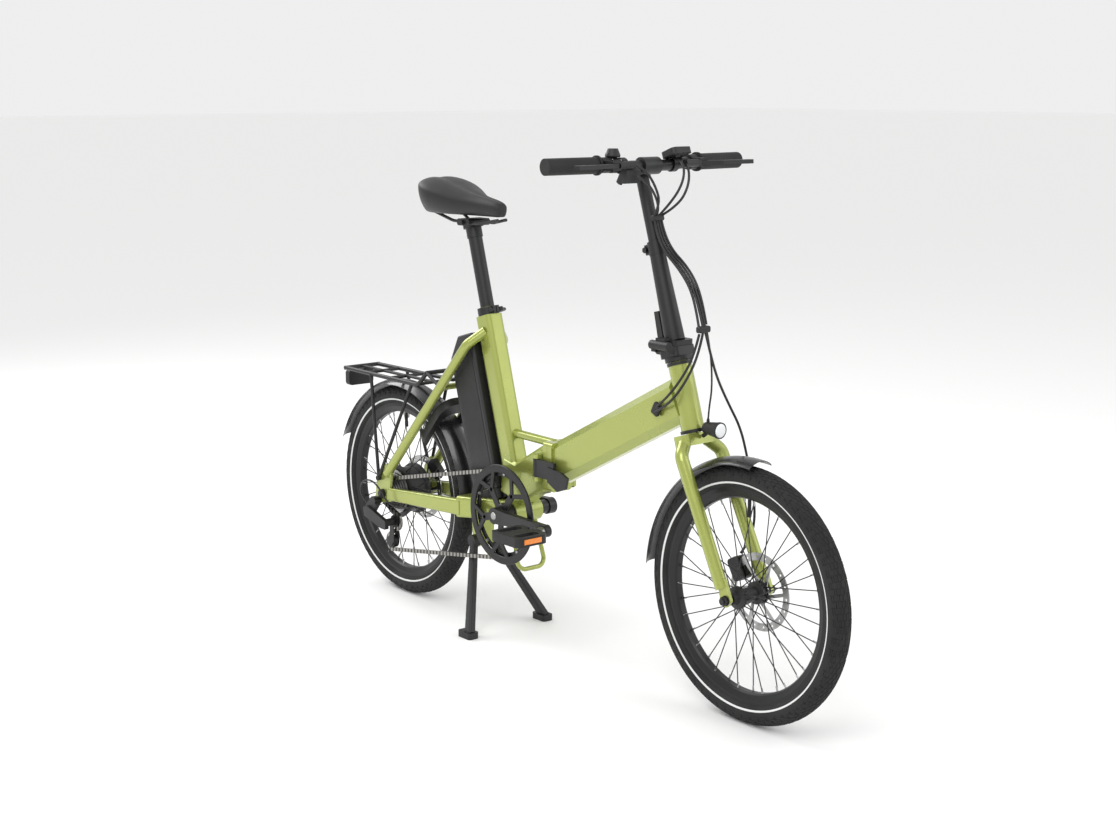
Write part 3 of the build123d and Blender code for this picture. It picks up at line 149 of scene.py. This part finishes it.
def finish_of(name, base, worn, grain_scale, smooth, rough, bump, metallic=0.0, coat=0.0):
    """A material whose colour, roughness and grain come from the shared wear group."""
    made_finish = bpy.data.materials.new(name)
    made_finish.use_nodes = True
    tree = made_finish.node_tree
    shader = tree.nodes["Principled BSDF"]
    group = tree.nodes.new("ShaderNodeGroup")
    group.node_tree = wear
    group.inputs["Base"].default_value = (*base, 1)
    group.inputs["Worn"].default_value = (*worn, 1)
    group.inputs["Grain"].default_value = grain_scale
    group.inputs["Smooth"].default_value = smooth
    group.inputs["Rough"].default_value = rough
    height = tree.nodes.new("ShaderNodeBump")
    height.inputs["Strength"].default_value = bump
    height.inputs["Distance"].default_value = 0.0004
    tree.links.new(group.outputs["Colour"], shader.inputs["Base Color"])
    tree.links.new(group.outputs["Roughness"], shader.inputs["Roughness"])
    tree.links.new(group.outputs["Height"], height.inputs["Height"])
    tree.links.new(height.outputs["Normal"], shader.inputs["Normal"])
    shader.inputs["Metallic"].default_value = metallic
    shader.inputs["Coat Weight"].default_value = coat
    shader.inputs["Coat Roughness"].default_value = 0.08
    return made_finish


def dress(finish, *names):
    """Give CAD nodes one finish in all their slots."""
    for name in names:
        mesh = nodes[name].data
        if not mesh.materials:
            mesh.materials.append(finish)
        for slot in nodes[name].material_slots:
            slot.link = "OBJECT"
            slot.material = finish


lime = finish_of("lime lacquer", (0.34, 0.385, 0.08), (0.47, 0.52, 0.18), 2600, 0.22, 0.36, 0.05, 0.5, 0.6)
dress(lime, "rear_frame", "front_frame", "fork")

# ---- black metal fittings ----
# Powder-coated steel for the hinges, levers, post, rack and cranks, and black anodised
# aluminium for the rims.
black = finish_of("black powder coat", (0.006, 0.006, 0.0065), (0.022, 0.022, 0.023), 1500, 0.34, 0.5, 0.25)
dress(
    black, "bottom_bracket", "seat_collar", "rack", "ring_lock", "rear_axle", "front_axle", "rear_caliper",
    "front_caliper", "motor_hub", "front_hub", "crank_left", "crank_right", "derailleur", "derailleur_cage",
    "saddle_clamp", "seat_post", "main_latch", "headset", "stem_base", "stem_latch", "handle_post",
    "upper_tube", "handlebar", "seat_lever", "post_lever", "hinge_pin", "brake_lever_left", "brake_lever_right",
)
anodised = finish_of("black anodised", (0.008, 0.008, 0.0085), (0.03, 0.03, 0.03), 900, 0.3, 0.42, 0.1, 0.3)
dress(anodised, "rear_rim", "front_rim")

# ---- moulded black parts ----
# Glass-filled nylon and ABS with a fine spark texture: dock, stand, pedals, lamps and controls.
# The mudguards and battery case are smoother, and the grips are soft rubber.
moulded = finish_of("moulded black", (0.008, 0.008, 0.0085), (0.028, 0.028, 0.029), 2200, 0.42, 0.6, 0.5)
dress(moulded, "battery_dock", "pedal_left", "pedal_right", "bar_controls", "kickstand", "headlight", "rear_light")
gloss_black = finish_of("gloss guard", (0.008, 0.008, 0.009), (0.03, 0.03, 0.03), 1800, 0.2, 0.34, 0.06, 0.0, 0.3)
dress(gloss_black, "rear_mudguard", "front_mudguard")
case = finish_of("battery case", (0.011, 0.011, 0.0125), (0.035, 0.035, 0.036), 1900, 0.34, 0.48, 0.3)
dress(case, "battery")
grip_rubber = finish_of("grip rubber", (0.007, 0.007, 0.007), (0.02, 0.02, 0.02), 700, 0.6, 0.78, 0.9)
dress(grip_rubber, "grips")

# ---- bright steel ----
# Nickel-plated sprockets and pedal spindle housings, ground stainless discs, and spokes of
# darker stainless wire.
steel = finish_of("plated steel", (0.42, 0.42, 0.42), (0.16, 0.155, 0.14), 1200, 0.24, 0.4, 0.1, 1.0)
dress(steel, "cassette", "rear_disc", "front_disc", "pedal_hub_left", "pedal_hub_right")
spoke_steel = finish_of("dark spoke steel", (0.05, 0.05, 0.052), (0.14, 0.14, 0.14), 1200, 0.25, 0.35, 0.05, 1.0)
dress(spoke_steel, "rear_spokes", "front_spokes")

# ---- chain ----
# A roller chain: pressed side plates in pairs on pins half an inch apart, oiled, with painted shade
# darkening the gaps between the plates.
link_pitch = 0.0127
oiled = finish_of("oiled chain steel", (0.34, 0.33, 0.31), (0.12, 0.11, 0.10), 1500, 0.26, 0.4, 0.2, 1.0)
tree = oiled.node_tree
along = tree.nodes.new("ShaderNodeTexCoord")
plates = tree.nodes.new("ShaderNodeTexWave")
plates.wave_type = "BANDS"
plates.bands_direction = "X"
plates.inputs["Scale"].default_value = pi / 10 / link_pitch
# mask of the painted shade bands that fall in the gaps between the plates
gap_shade_mask = tree.nodes.new("ShaderNodeValToRGB")
gap_shade_mask.color_ramp.elements[0].position = 0.25
gap_shade_mask.color_ramp.elements[1].position = 0.6
# painted shade: a dark colour laid in the gaps between the plates, where shade falls
painted_gap_shade = tree.nodes.new("ShaderNodeMix")
painted_gap_shade.data_type = "RGBA"
painted_gap_shade.inputs["A"].default_value = (0.07, 0.066, 0.06, 1)
tree.links.new(along.outputs["Object"], plates.inputs["Vector"])
tree.links.new(plates.outputs["Color"], gap_shade_mask.inputs["Fac"])
tree.links.new(gap_shade_mask.outputs["Color"], painted_gap_shade.inputs["Factor"])
tree.links.new(tree.nodes["Group"].outputs["Colour"], painted_gap_shade.inputs["B"])
tree.links.new(painted_gap_shade.outputs["Result"], tree.nodes["Principled BSDF"].inputs["Base Color"])
dress(oiled, "chain")

# ---- tyres ----
# Vulcanised rubber with rows of small blocks on the crown, a ribbed shoulder and a thin woven
# reflex stripe moulded into each sidewall.
tyre_outer = 0.250
tyre_tube = 0.0235
tread_depth = 0.0013
stripe_radius = 0.218
stripe_half = 0.0018
axle_height = 0.250
bead_radius = 0.2085
tread_radius = 0.230
tread_steps = 132
block_width = 0.0035
block_edge = 0.0006
wheel_places = {"rear": -0.565, "front": 0.565}
for end, wheel_x in wheel_places.items():
    rubber = finish_of(end + " tyre rubber", (0.008, 0.008, 0.008), (0.024, 0.023, 0.022), 900, 0.66, 0.84, 0.5)
    tree = rubber.node_tree
    shader = tree.nodes["Principled BSDF"]
    old_colour = tree.nodes["Group"].outputs["Colour"]
    coordinates = tree.nodes.new("ShaderNodeTexCoord")
    centred = tree.nodes.new("ShaderNodeMapping")
    centred.inputs["Location"].default_value = (-wheel_x, 0, -axle_height)
    centred.inputs["Scale"].default_value = (1, 0, 1)
    distance = tree.nodes.new("ShaderNodeVectorMath")
    distance.operation = "LENGTH"
    band = tree.nodes.new("ShaderNodeMath")
    band.operation = "COMPARE"
    band.inputs[1].default_value = stripe_radius
    band.inputs[2].default_value = stripe_half
    painted = tree.nodes.new("ShaderNodeMix")
    painted.data_type = "RGBA"
    painted.inputs["B"].default_value = (0.72, 0.73, 0.72, 1)
    tree.links.new(coordinates.outputs["Object"], centred.inputs["Vector"])
    tree.links.new(centred.outputs["Vector"], distance.inputs[0])
    tree.links.new(distance.outputs["Value"], band.inputs[0])
    tree.links.new(band.outputs["Value"], painted.inputs["Factor"])
    tree.links.new(old_colour, painted.inputs["A"])
    tree.links.new(painted.outputs["Result"], shader.inputs["Base Color"])
    shape = bmesh.new()
    bmesh.ops.create_circle(
        shape, segments=40, radius=tyre_tube - tread_depth,
        matrix=Matrix.Translation((wheel_x + tyre_outer - tyre_tube, 0, axle_height)),
    )
    low = [v for v in shape.verts if v.co.x - wheel_x < bead_radius]
    bmesh.ops.delete(shape, geom=low, context="VERTS")
    bmesh.ops.spin(
        shape, geom=shape.verts[:] + shape.edges[:], cent=(wheel_x, 0, axle_height), axis=(0, 1, 0),
        angle=2 * pi, steps=tread_steps, use_merge=True,
    )
    bmesh.ops.remove_doubles(shape, verts=shape.verts, dist=0.00002)
    bmesh.ops.recalc_face_normals(shape, faces=shape.faces)
    blocks = []
    for face in shape.faces:
        middle = face.calc_center_median()
        out = hypot(middle.x - wheel_x, middle.z - axle_height)
        turn = atan2(middle.z - axle_height, middle.x - wheel_x)
        ring_step = round((turn + pi) / (2 * pi) * tread_steps)
        row = round(abs(middle.y) / block_width)
        if out > tread_radius and (ring_step + row) % 2 == 0:
            blocks.append(face)
    bmesh.ops.inset_individual(shape, faces=blocks, thickness=block_edge, depth=tread_depth)
    tyre_mesh = bpy.data.meshes.new(end + "_tyre_rubber")
    shape.to_mesh(tyre_mesh)
    shape.free()
    tyre_mesh.materials.append(rubber)
    tyre = bpy.data.objects.new(end + "_tyre_rubber", tyre_mesh)
    bpy.context.collection.objects.link(tyre)
    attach(tyre, end + "_wheel")
    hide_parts(end + "_tyre")

# ---- chainring and guard ----
# A steel ring bolted behind an alloy guard. The guard's five spokes fork before they meet
# its rim, so five broad openings alternate with five small three-sided ones.
crank_x = -0.120
crank_z = 0.283
guard_face = -0.0627
guard_back = -0.0582
guard_rim = (0.0925, 0.110)
fork_radius = 0.060
first_spoke = 51
spoke_step = 72
bolt_circle = 0.089
shape = bmesh.new()
for inner, outer, face_y, back_y, soften in (
    (*guard_rim, guard_face, guard_back, 0.0014), (0.0086, 0.024, guard_face, -0.0420, 0.0012),
    (0.0840, 0.0950, -0.0555, -0.0525, 0.0006),
):
    corners = [
        shape.verts.new((crank_x + radius, y, crank_z))
        for radius, y in (
            (inner, back_y), (inner, face_y + soften), (inner + soften, face_y), (outer - soften, face_y),
            (outer, face_y + soften), (outer, back_y),
        )
    ]
    edges = [shape.edges.new((corners[n - 1], corners[n])) for n in range(len(corners))]
    bmesh.ops.spin(
        shape, geom=corners + edges, cent=(crank_x, 0, crank_z), axis=(0, 1, 0), angle=2 * pi, steps=120,
        use_merge=True,
    )
bmesh.ops.remove_doubles(shape, verts=shape.verts, dist=0.00001)
bmesh.ops.recalc_face_normals(shape, faces=shape.faces)
for number in range(5):
    heading = radians(first_spoke + spoke_step * number)
    fork_point = Vector((cos(heading), 0, sin(heading))) * fork_radius
    bars = [(Vector((cos(heading), 0, sin(heading))) * 0.018, fork_point, 0.017)]
    for spread in (-17, 17):
        tip = Vector((cos(heading + radians(spread)), 0, sin(heading + radians(spread)))) * 0.096
        bars.append((fork_point - (tip - fork_point).normalized() * 0.004, tip, 0.0105))
    for start, end, wide in bars:
        run = end - start
        turned_by = Matrix.Rotation(-atan2(run.z, run.x), 4, "Y")
        middle = Vector((crank_x, (guard_face + guard_back) / 2, crank_z)) + (start + end) / 2
        bar = bmesh.ops.create_cube(
            shape, size=1,
            matrix=Matrix.Translation(middle) @ turned_by
            @ Matrix.Diagonal((run.length, guard_back - guard_face - 0.0004, wide, 1)),
        )
        sides = list({edge for vert in bar["verts"] for edge in vert.link_edges})
        bmesh.ops.bevel(shape, geom=sides, offset=0.0012, segments=2, affect="EDGES", profile=0.5, material=-1)
guard_mesh = bpy.data.meshes.new("chain_guard")
shape.to_mesh(guard_mesh)
shape.free()
guard_mesh.materials.append(anodised)
guard = bpy.data.objects.new("chain_guard", guard_mesh)
bpy.context.collection.objects.link(guard)
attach(guard, "crank")
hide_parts("chainring")
bolt_places = [(crank_x, crank_z, 0.0085)]
for number in range(5):
    heading = radians(first_spoke + spoke_step / 2 + spoke_step * number)
    bolt_places.append((crank_x + bolt_circle * cos(heading), crank_z + bolt_circle * sin(heading), 0.0040))
shape = bmesh.new()
for place_x, place_z, radius in bolt_places:
    reach = -0.0825 if radius > 0.005 else -0.0560
    head = bmesh.ops.create_cone(
        shape, cap_ends=True, segments=28, radius1=radius, radius2=radius * 0.86, depth=0.0016,
        matrix=Matrix.Translation((place_x, reach, place_z)) @ Matrix.Rotation(pi / 2, 4, "X"),
    )
    outward = min({f for v in head["verts"] for f in v.link_faces}, key=lambda f: f.calc_center_median().y)
    bmesh.ops.inset_individual(shape, faces=[outward], thickness=radius * 0.35, depth=-0.0008)
bolt_mesh = bpy.data.meshes.new("crank_bolts")
shape.to_mesh(bolt_mesh)
shape.free()
bolt_mesh.materials.append(steel)
bolts = bpy.data.objects.new("crank_bolts", bolt_mesh)
bpy.context.collection.objects.link(bolts)
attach(bolts, "crank")

# ---- valves and spoke nipples ----
# Brass nipples, nickel plated, seat in the rim bed, and one rubber valve with a black cap
# stands inward from each rim.
rim_bed = 0.187
spoke_count = 36
for end, wheel_x in wheel_places.items():
    shape = bmesh.new()
    for number in range(spoke_count):
        turn = radians(360 / spoke_count * number + 5)
        side = 1 if number % 2 else -1
        place = Matrix.Translation((wheel_x, 0, axle_height)) @ Matrix.Rotation(-turn, 4, "Y")
        bmesh.ops.create_cone(
            shape, cap_ends=True, segments=10, radius1=0.0021, radius2=0.0016, depth=0.011,
            matrix=place @ Matrix.Translation((rim_bed - 0.0045, side * 0.004, 0))
            @ Matrix.Rotation(-pi / 2, 4, "Y"),
        )
    nipple_mesh = bpy.data.meshes.new(end + "_nipples")
    shape.to_mesh(nipple_mesh)
    shape.free()
    nipple_mesh.materials.append(steel)
    nipples = bpy.data.objects.new(end + "_nipples", nipple_mesh)
    bpy.context.collection.objects.link(nipples)
    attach(nipples, end + "_wheel")
    shape = bmesh.new()
    for radius, depth, reach in ((0.0036, 0.024, 0.012), (0.0042, 0.013, 0.029)):
        made = bmesh.ops.create_cone(
            shape, cap_ends=True, segments=20, radius1=radius, radius2=radius, depth=depth,
            matrix=Matrix.Translation((wheel_x, 0, axle_height + rim_bed - reach)),
        )
        rims = [e for v in made["verts"] for e in v.link_edges if abs(e.verts[0].co.z - e.verts[1].co.z) < 1e-6]
        bmesh.ops.bevel(
            shape, geom=list(set(rims)), offset=0.0008, segments=2, affect="EDGES", profile=0.5, material=-1,
        )
    valve_mesh = bpy.data.meshes.new(end + "_valve")
    shape.to_mesh(valve_mesh)
    shape.free()
    valve_mesh.materials.append(grip_rubber)
    valve = bpy.data.objects.new(end + "_valve", valve_mesh)
    bpy.context.collection.objects.link(valve)
    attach(valve, end + "_wheel")

# ---- saddle ----
# Foam on a nylon shell under a stretched synthetic cover: a raised broad rear, a narrow waist
# and a rounded nose, with a shallow channel down the middle.
saddle_x = -0.308
saddle_z = 0.930
saddle_bottom = 0.917
saddle_pitch = radians(6.0)
sections = (
    (-124, 62, 20, 22), (-118, 104, 30, 20), (-100, 140, 44, 18), (-60, 152, 46, 12),
    (-10, 112, 42, 4), (40, 62, 38, -1),
    (90, 42, 34, 0), (112, 34, 28, 0), (122, 26, 20, 0),
)
shape = bmesh.new()
for along, width, depth, rise in sections:
    centre = Vector((saddle_x + along / 1000, 0, saddle_z + (18 + rise - along * tan(saddle_pitch)) / 1000))
    ring = bmesh.ops.create_circle(shape, segments=28, radius=1, cap_ends=False)
    for vert in ring["verts"]:
        across, up = vert.co.x, vert.co.y
        groove = 0.09 * (1 - min(1, abs(across) / 0.3)) if up > 0 else 0
        if up > 0:
            lift = up * (0.5 - groove) * depth / 1000
        else:
            lift = max(up, -0.8) / 0.8 * (centre.z - saddle_bottom)
        vert.co = centre + Vector((0, across * width / 2000, lift))
bmesh.ops.bridge_loops(shape, edges=shape.edges[:])
for end_x in (min(v.co.x for v in shape.verts), max(v.co.x for v in shape.verts)):
    rim_edges = [e for e in shape.edges if all(abs(v.co.x - end_x) < 1e-5 for v in e.verts)]
    bmesh.ops.contextual_create(shape, geom=rim_edges)
bmesh.ops.recalc_face_normals(shape, faces=shape.faces)
saddle_mesh = bpy.data.meshes.new("saddle_cover")
shape.to_mesh(saddle_mesh)
shape.free()
for polygon in saddle_mesh.polygons:
    polygon.use_smooth = True
saddle_cover = bpy.data.objects.new("saddle_cover", saddle_mesh)
bpy.context.collection.objects.link(saddle_cover)
rounding = saddle_cover.modifiers.new("rounding", "SUBSURF")
rounding.levels = 2
rounding.render_levels = 2
saddle_mesh.materials.append(
    finish_of("saddle cover", (0.007, 0.007, 0.0075), (0.022, 0.022, 0.022), 1100, 0.42, 0.58, 0.8)
)
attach(saddle_cover, "seat")
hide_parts("saddle")

# ---- battery trim ----
# The case is two moulded halves with a raised panel on each side, and a round key lock near
# the top on the drive side.
seat_lean = radians(15.9)
crank_place = Vector((-0.120, 0, 0.283))
seat_up = Vector((-sin(seat_lean), 0, cos(seat_lean)))
seat_front = Vector((cos(seat_lean), 0, sin(seat_lean)))
panel_corners = ((-0.042, 0.074), (-0.042, 0.386), (-0.080, 0.386), (-0.111, 0.352), (-0.111, 0.074))
shape = bmesh.new()
for side in (-1, 1):
    ring = [
        shape.verts.new(crank_place + seat_front * front + seat_up * up + Vector((0, side * 0.0345, 0)))
        for front, up in panel_corners
    ]
    face = bmesh.ops.contextual_create(shape, geom=ring)["faces"][0]
    grown = bmesh.ops.extrude_face_region(shape, geom=[face])["geom"]
    raised = [item for item in grown if isinstance(item, bmesh.types.BMVert)]
    bmesh.ops.translate(shape, verts=raised, vec=(0, side * 0.0013, 0))
bmesh.ops.recalc_face_normals(shape, faces=shape.faces)
bmesh.ops.bevel(shape, geom=shape.edges[:], offset=0.0005, segments=2, affect="EDGES", profile=0.5, material=-1)
panel_mesh = bpy.data.meshes.new("battery_panels")
shape.to_mesh(panel_mesh)
shape.free()
panel_mesh.materials.append(moulded)
panels = bpy.data.objects.new("battery_panels", panel_mesh)
bpy.context.collection.objects.link(panels)
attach(panels, "battery")
lock_place = crank_place + seat_up * 0.366 - seat_front * 0.062
shape = bmesh.new()
for radius, reach in ((0.0085, 0.0368), (0.0060, 0.0376)):
    bmesh.ops.create_cone(
        shape, cap_ends=True, segments=32, radius1=radius, radius2=radius - 0.0006, depth=0.003,
        matrix=Matrix.Translation(lock_place - Vector((0, reach - 0.0015, 0))) @ Matrix.Rotation(pi / 2, 4, "X"),
    )
lock_mesh = bpy.data.meshes.new("battery_lock")
shape.to_mesh(lock_mesh)
shape.free()
lock_mesh.materials.append(anodised)
battery_lock = bpy.data.objects.new("battery_lock", lock_mesh)
bpy.context.collection.objects.link(battery_lock)
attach(battery_lock, "battery")

# ---- ties on the cables ----
# Moulded clips that hold the housings together: one on the post, one where they pass the hinge,
# and a moulded grommet where two of them enter the beam.
clips = (
    ("post_clip", "handle_post", (0.3032, 0, 0.9453), (0.012, 0.028, 0.013), -17.7),
    ("hinge_clip", "fork", (0.4440, -0.0095, 0.7440), (0.013, 0.030, 0.013), 0.0),
    ("beam_grommet", "front_frame", (0.3400, -0.0315, 0.5785), (0.020, 0.010, 0.026), 27.0),
)
for clip_name, body, place, size, lean in clips:
    shape = bmesh.new()
    bmesh.ops.create_cube(
        shape, size=1,
        matrix=Matrix.Translation(place) @ Matrix.Rotation(radians(lean), 4, "Y") @ Matrix.Diagonal((*size, 1)),
    )
    bmesh.ops.bevel(
        shape, geom=shape.edges[:], offset=0.0038, segments=4, affect="EDGES", profile=0.5, material=-1,
    )
    clip_mesh = bpy.data.meshes.new(clip_name)
    shape.to_mesh(clip_mesh)
    shape.free()
    clip_mesh.materials.append(moulded)
    clip = bpy.data.objects.new(clip_name, clip_mesh)
    bpy.context.collection.objects.link(clip)
    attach(clip, body)

# ---- bell and lamp gland ----
# A spun alloy dome over the bell's spring striker, and the rubber boot where the lead enters
# the headlight.
caps = (
    ("bell_dome", "handlebar", (0.2755, -0.092, 1.0655), 0.0148, 0.78, anodised),
    ("lamp_gland", "fork", (0.4510, 0, 0.5670), 0.0032, 2.4, grip_rubber),
)
for cap_name, body, place, radius, squat, cap_finish in caps:
    shape = bmesh.new()
    bmesh.ops.create_uvsphere(
        shape, u_segments=36, v_segments=20, radius=radius,
        matrix=Matrix.Translation(place) @ Matrix.Diagonal((1, 1, squat, 1)),
    )
    if cap_name == "bell_dome":
        bmesh.ops.bisect_plane(
            shape, geom=shape.verts[:] + shape.edges[:] + shape.faces[:], plane_co=(0, 0, place[2] - 0.003),
            plane_no=(0, 0, 1), clear_inner=True,
        )
        rim_edges = [edge for edge in shape.edges if edge.is_boundary]
        bmesh.ops.contextual_create(shape, geom=rim_edges)
    cap_mesh = bpy.data.meshes.new(cap_name)
    shape.to_mesh(cap_mesh)
    shape.free()
    for polygon in cap_mesh.polygons:
        polygon.use_smooth = len(polygon.vertices) < 5
    cap_mesh.materials.append(cap_finish)
    cap = bpy.data.objects.new(cap_name, cap_mesh)
    bpy.context.collection.objects.link(cap)
    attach(cap, body)

# ---- lenses and reflectors ----
# Moulded acrylic: a clear headlight dome, a red rear lens, and amber bars set in the front
# and rear ends of both pedals.
lenses = (
    ("headlight_lens", "fork", (0.4848, 0, 0.554), (0.006, 0.027, 0.027), (0.85, 0.87, 0.88)),
    ("rear_lens", "rear_frame", (-0.7735, 0, 0.497), (0.004, 0.056, 0.03), (0.55, 0.01, 0.01)),
    ("pedal_right_lens_front", "pedal_right", (0.0968, -0.145, 0.283), (0.002, 0.045, 0.011), (0.9, 0.25, 0.02)),
    ("pedal_right_lens_rear", "pedal_right", (0.0032, -0.145, 0.283), (0.002, 0.045, 0.011), (0.9, 0.25, 0.02)),
    ("pedal_left_lens_front", "pedal_left", (-0.2432, 0.145, 0.283), (0.002, 0.045, 0.011), (0.9, 0.25, 0.02)),
    ("pedal_left_lens_rear", "pedal_left", (-0.3368, 0.145, 0.283), (0.002, 0.045, 0.011), (0.9, 0.25, 0.02)),
)
for lens_name, body, place, size, colour in lenses:
    shape = bmesh.new()
    bmesh.ops.create_cube(shape, size=1, matrix=Matrix.Translation(place) @ Matrix.Diagonal((*size, 1)))
    if lens_name == "headlight_lens":
        bmesh.ops.delete(shape, geom=shape.verts[:], context="VERTS")
        bmesh.ops.create_uvsphere(
            shape, u_segments=32, v_segments=16, radius=0.5,
            matrix=Matrix.Translation(place) @ Matrix.Diagonal((*size, 1)),
        )
    else:
        bmesh.ops.bevel(
            shape, geom=shape.edges[:], offset=0.0009, segments=3, affect="EDGES", profile=0.5, material=-1,
        )
    lens_mesh = bpy.data.meshes.new(lens_name)
    shape.to_mesh(lens_mesh)
    shape.free()
    lens_mesh.materials.append(
        finish_of(lens_name, colour, tuple(c * 0.6 for c in colour), 420, 0.05, 0.16, 0.9, 0.0, 0.8)
    )
    lens = bpy.data.objects.new(lens_name, lens_mesh)
    bpy.context.collection.objects.link(lens)
    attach(lens, body)

# ---- cables and hoses ----
# Nylon-jacketed housings 5 mm thick. They leave the levers, gather at a tie on the post, bow
# forward past the post hinge, and go down to the fork, the lamp and the grommet in the beam.
jacket = finish_of("cable jacket", (0.007, 0.007, 0.007), (0.022, 0.022, 0.022), 1600, 0.36, 0.5, 0.2)
levers_to_tie = ("handlebar", "upper_tube", (0.33, 0, 1.03), (0.31, 0, 0.97))
tie_to_fork = ("handle_post", "fork", (0.34, 0, 0.9), (0.44, 0, 0.76))
fork_to_beam = ("fork", "front_frame", (0.444, 0, 0.73), (0.35, -0.03, 0.59))
routes = {
    "cables_upper_0": (
        [(308.0, -63.6, 1048.0), (322, -50, 1040), (334, -34, 1008), (328, -16, 974), (302.3, -9, 948.2)],
        0.005, 0.131, *levers_to_tie,
    ),
    "cables_upper_1": (
        [(311.4, -62, 1028.0), (328, -52, 1018), (330, -30, 990), (318, -10, 962), (302.3, -3, 948.2)],
        0.005, 0.113, *levers_to_tie,
    ),
    "cables_upper_2": (
        [(304, 50, 1056), (328, 44, 1050), (342, 32, 1018), (334, 12, 980), (302.3, 3, 948.2)],
        0.005, 0.146, *levers_to_tie,
    ),
    "cables_upper_3": (
        [(308.0, 63.6, 1048.0), (334, 52, 1044), (350, 38, 1008), (340, 20, 970), (302.3, 9, 948.2)],
        0.005, 0.151, *levers_to_tie,
    ),
    "cables_fork_0": (
        [(304.1, -9, 942.5), (316.1, -11.0, 896.5), (383.0, -7.2, 845.0), (421.0, -10, 797.0), (444, -20, 742)],
        0.005, 0.25, *tie_to_fork,
    ),
    "cables_fork_1": (
        [(304.1, -3, 942.5), (316.1, -3.7, 896.5), (385.0, -2.4, 847.0), (423.0, -6, 799.0), (447, -13, 746)],
        0.005, 0.248, *tie_to_fork,
    ),
    "cables_fork_2": (
        [(304.1, 3, 942.5), (316.1, 3.7, 896.5), (387.0, 2.4, 849.0), (425.0, -2, 801.0), (444, -6, 750)],
        0.005, 0.244, *tie_to_fork,
    ),
    "cables_fork_3": (
        [(304.1, 9, 942.5), (316.1, 11.0, 896.5), (389.0, 7.2, 851.0), (427.0, 2, 803.0), (441, 1, 752)],
        0.005, 0.242, *tie_to_fork,
    ),
    "cables_lower_0": (
        [(444, -20, 736), (440, -30, 692), (414, -40, 644), (376, -42, 604), (342, -34, 583)],
        0.005, 0.195, *fork_to_beam,
    ),
    "cables_lower_1": (
        [(447, -13, 740), (448, -24, 698), (424, -38, 638), (382, -46, 590), (336, -34, 572)],
        0.005, 0.221, *fork_to_beam,
    ),
    "cables_fork_4": (
        [
            (444, -6, 744), (449, 4, 700), (452, 20, 650), (458, 46, 598), (467, 72, 548),
            (480, 79, 490), (497, 79, 430), (509, 74, 376), (511, 60, 336), (499, 46, 310),
        ],
        0.005, 0.463, "fork", None, None, None,
    ),
    "cables_fork_5": (
        [(441, 1, 746), (444, 9, 706), (449, 10, 660), (453, 6, 622), (452, 1, 594), (451, 0, 570)],
        0.0036, 0.177, "fork", None, None, None,
    ),
    "cables_rear_0": (
        [
            (-470, -64, 232), (-500, -74, 226), (-526, -86, 238), (-544, -92, 266), (-570, -96, 284),
            (-604, -96, 280), (-628, -92, 262), (-636, -86, 238), (-623, -80, 220),
        ],
        0.0044, 0.234, "rear_frame", None, None, None,
    ),
    "cables_rear_1": (
        [(-330, 58, 287), (-372, 66, 290), (-416, 73, 289), (-456, 72, 293), (-486, 58, 304)],
        0.0044, 0.161, "rear_frame", None, None, None,
    ),
}
made_cables = {}
for cord_name, (points, diameter, length, body, other, start, end) in routes.items():
    line = bpy.data.curves.new(cord_name, "CURVE")
    line.dimensions = "3D"
    line.bevel_depth = diameter / 2
    line.bevel_resolution = 3
    line.resolution_u = 10
    line.use_fill_caps = True
    spline = line.splines.new("NURBS")
    spline.points.add(len(points) - 1)
    for knot, point in zip(spline.points, points):
        knot.co = (*(value / 1000 for value in point), 1)
    spline.order_u = 3
    spline.use_endpoint_u = True
    drawn = bpy.data.objects.new(cord_name + "_line", line)
    line.bevel_depth = 0
    course = bpy.data.meshes.new_from_object(drawn)
    line.bevel_depth = diameter / 2
    tube_mesh = bpy.data.meshes.new_from_object(drawn)
    bpy.data.objects.remove(drawn)
    tube_mesh.name = cord_name
    tube_mesh.materials.clear()
    tube_mesh.materials.append(jacket)
    cable = bpy.data.objects.new(cord_name, tube_mesh)
    bpy.context.collection.objects.link(cable)
    if other:
        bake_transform(cable)
    else:
        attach(cable, body)
    made_cables.setdefault(cord_name.rsplit("_", 1)[0], []).append(cable)
for node_name, cables in made_cables.items():
    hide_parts(node_name)
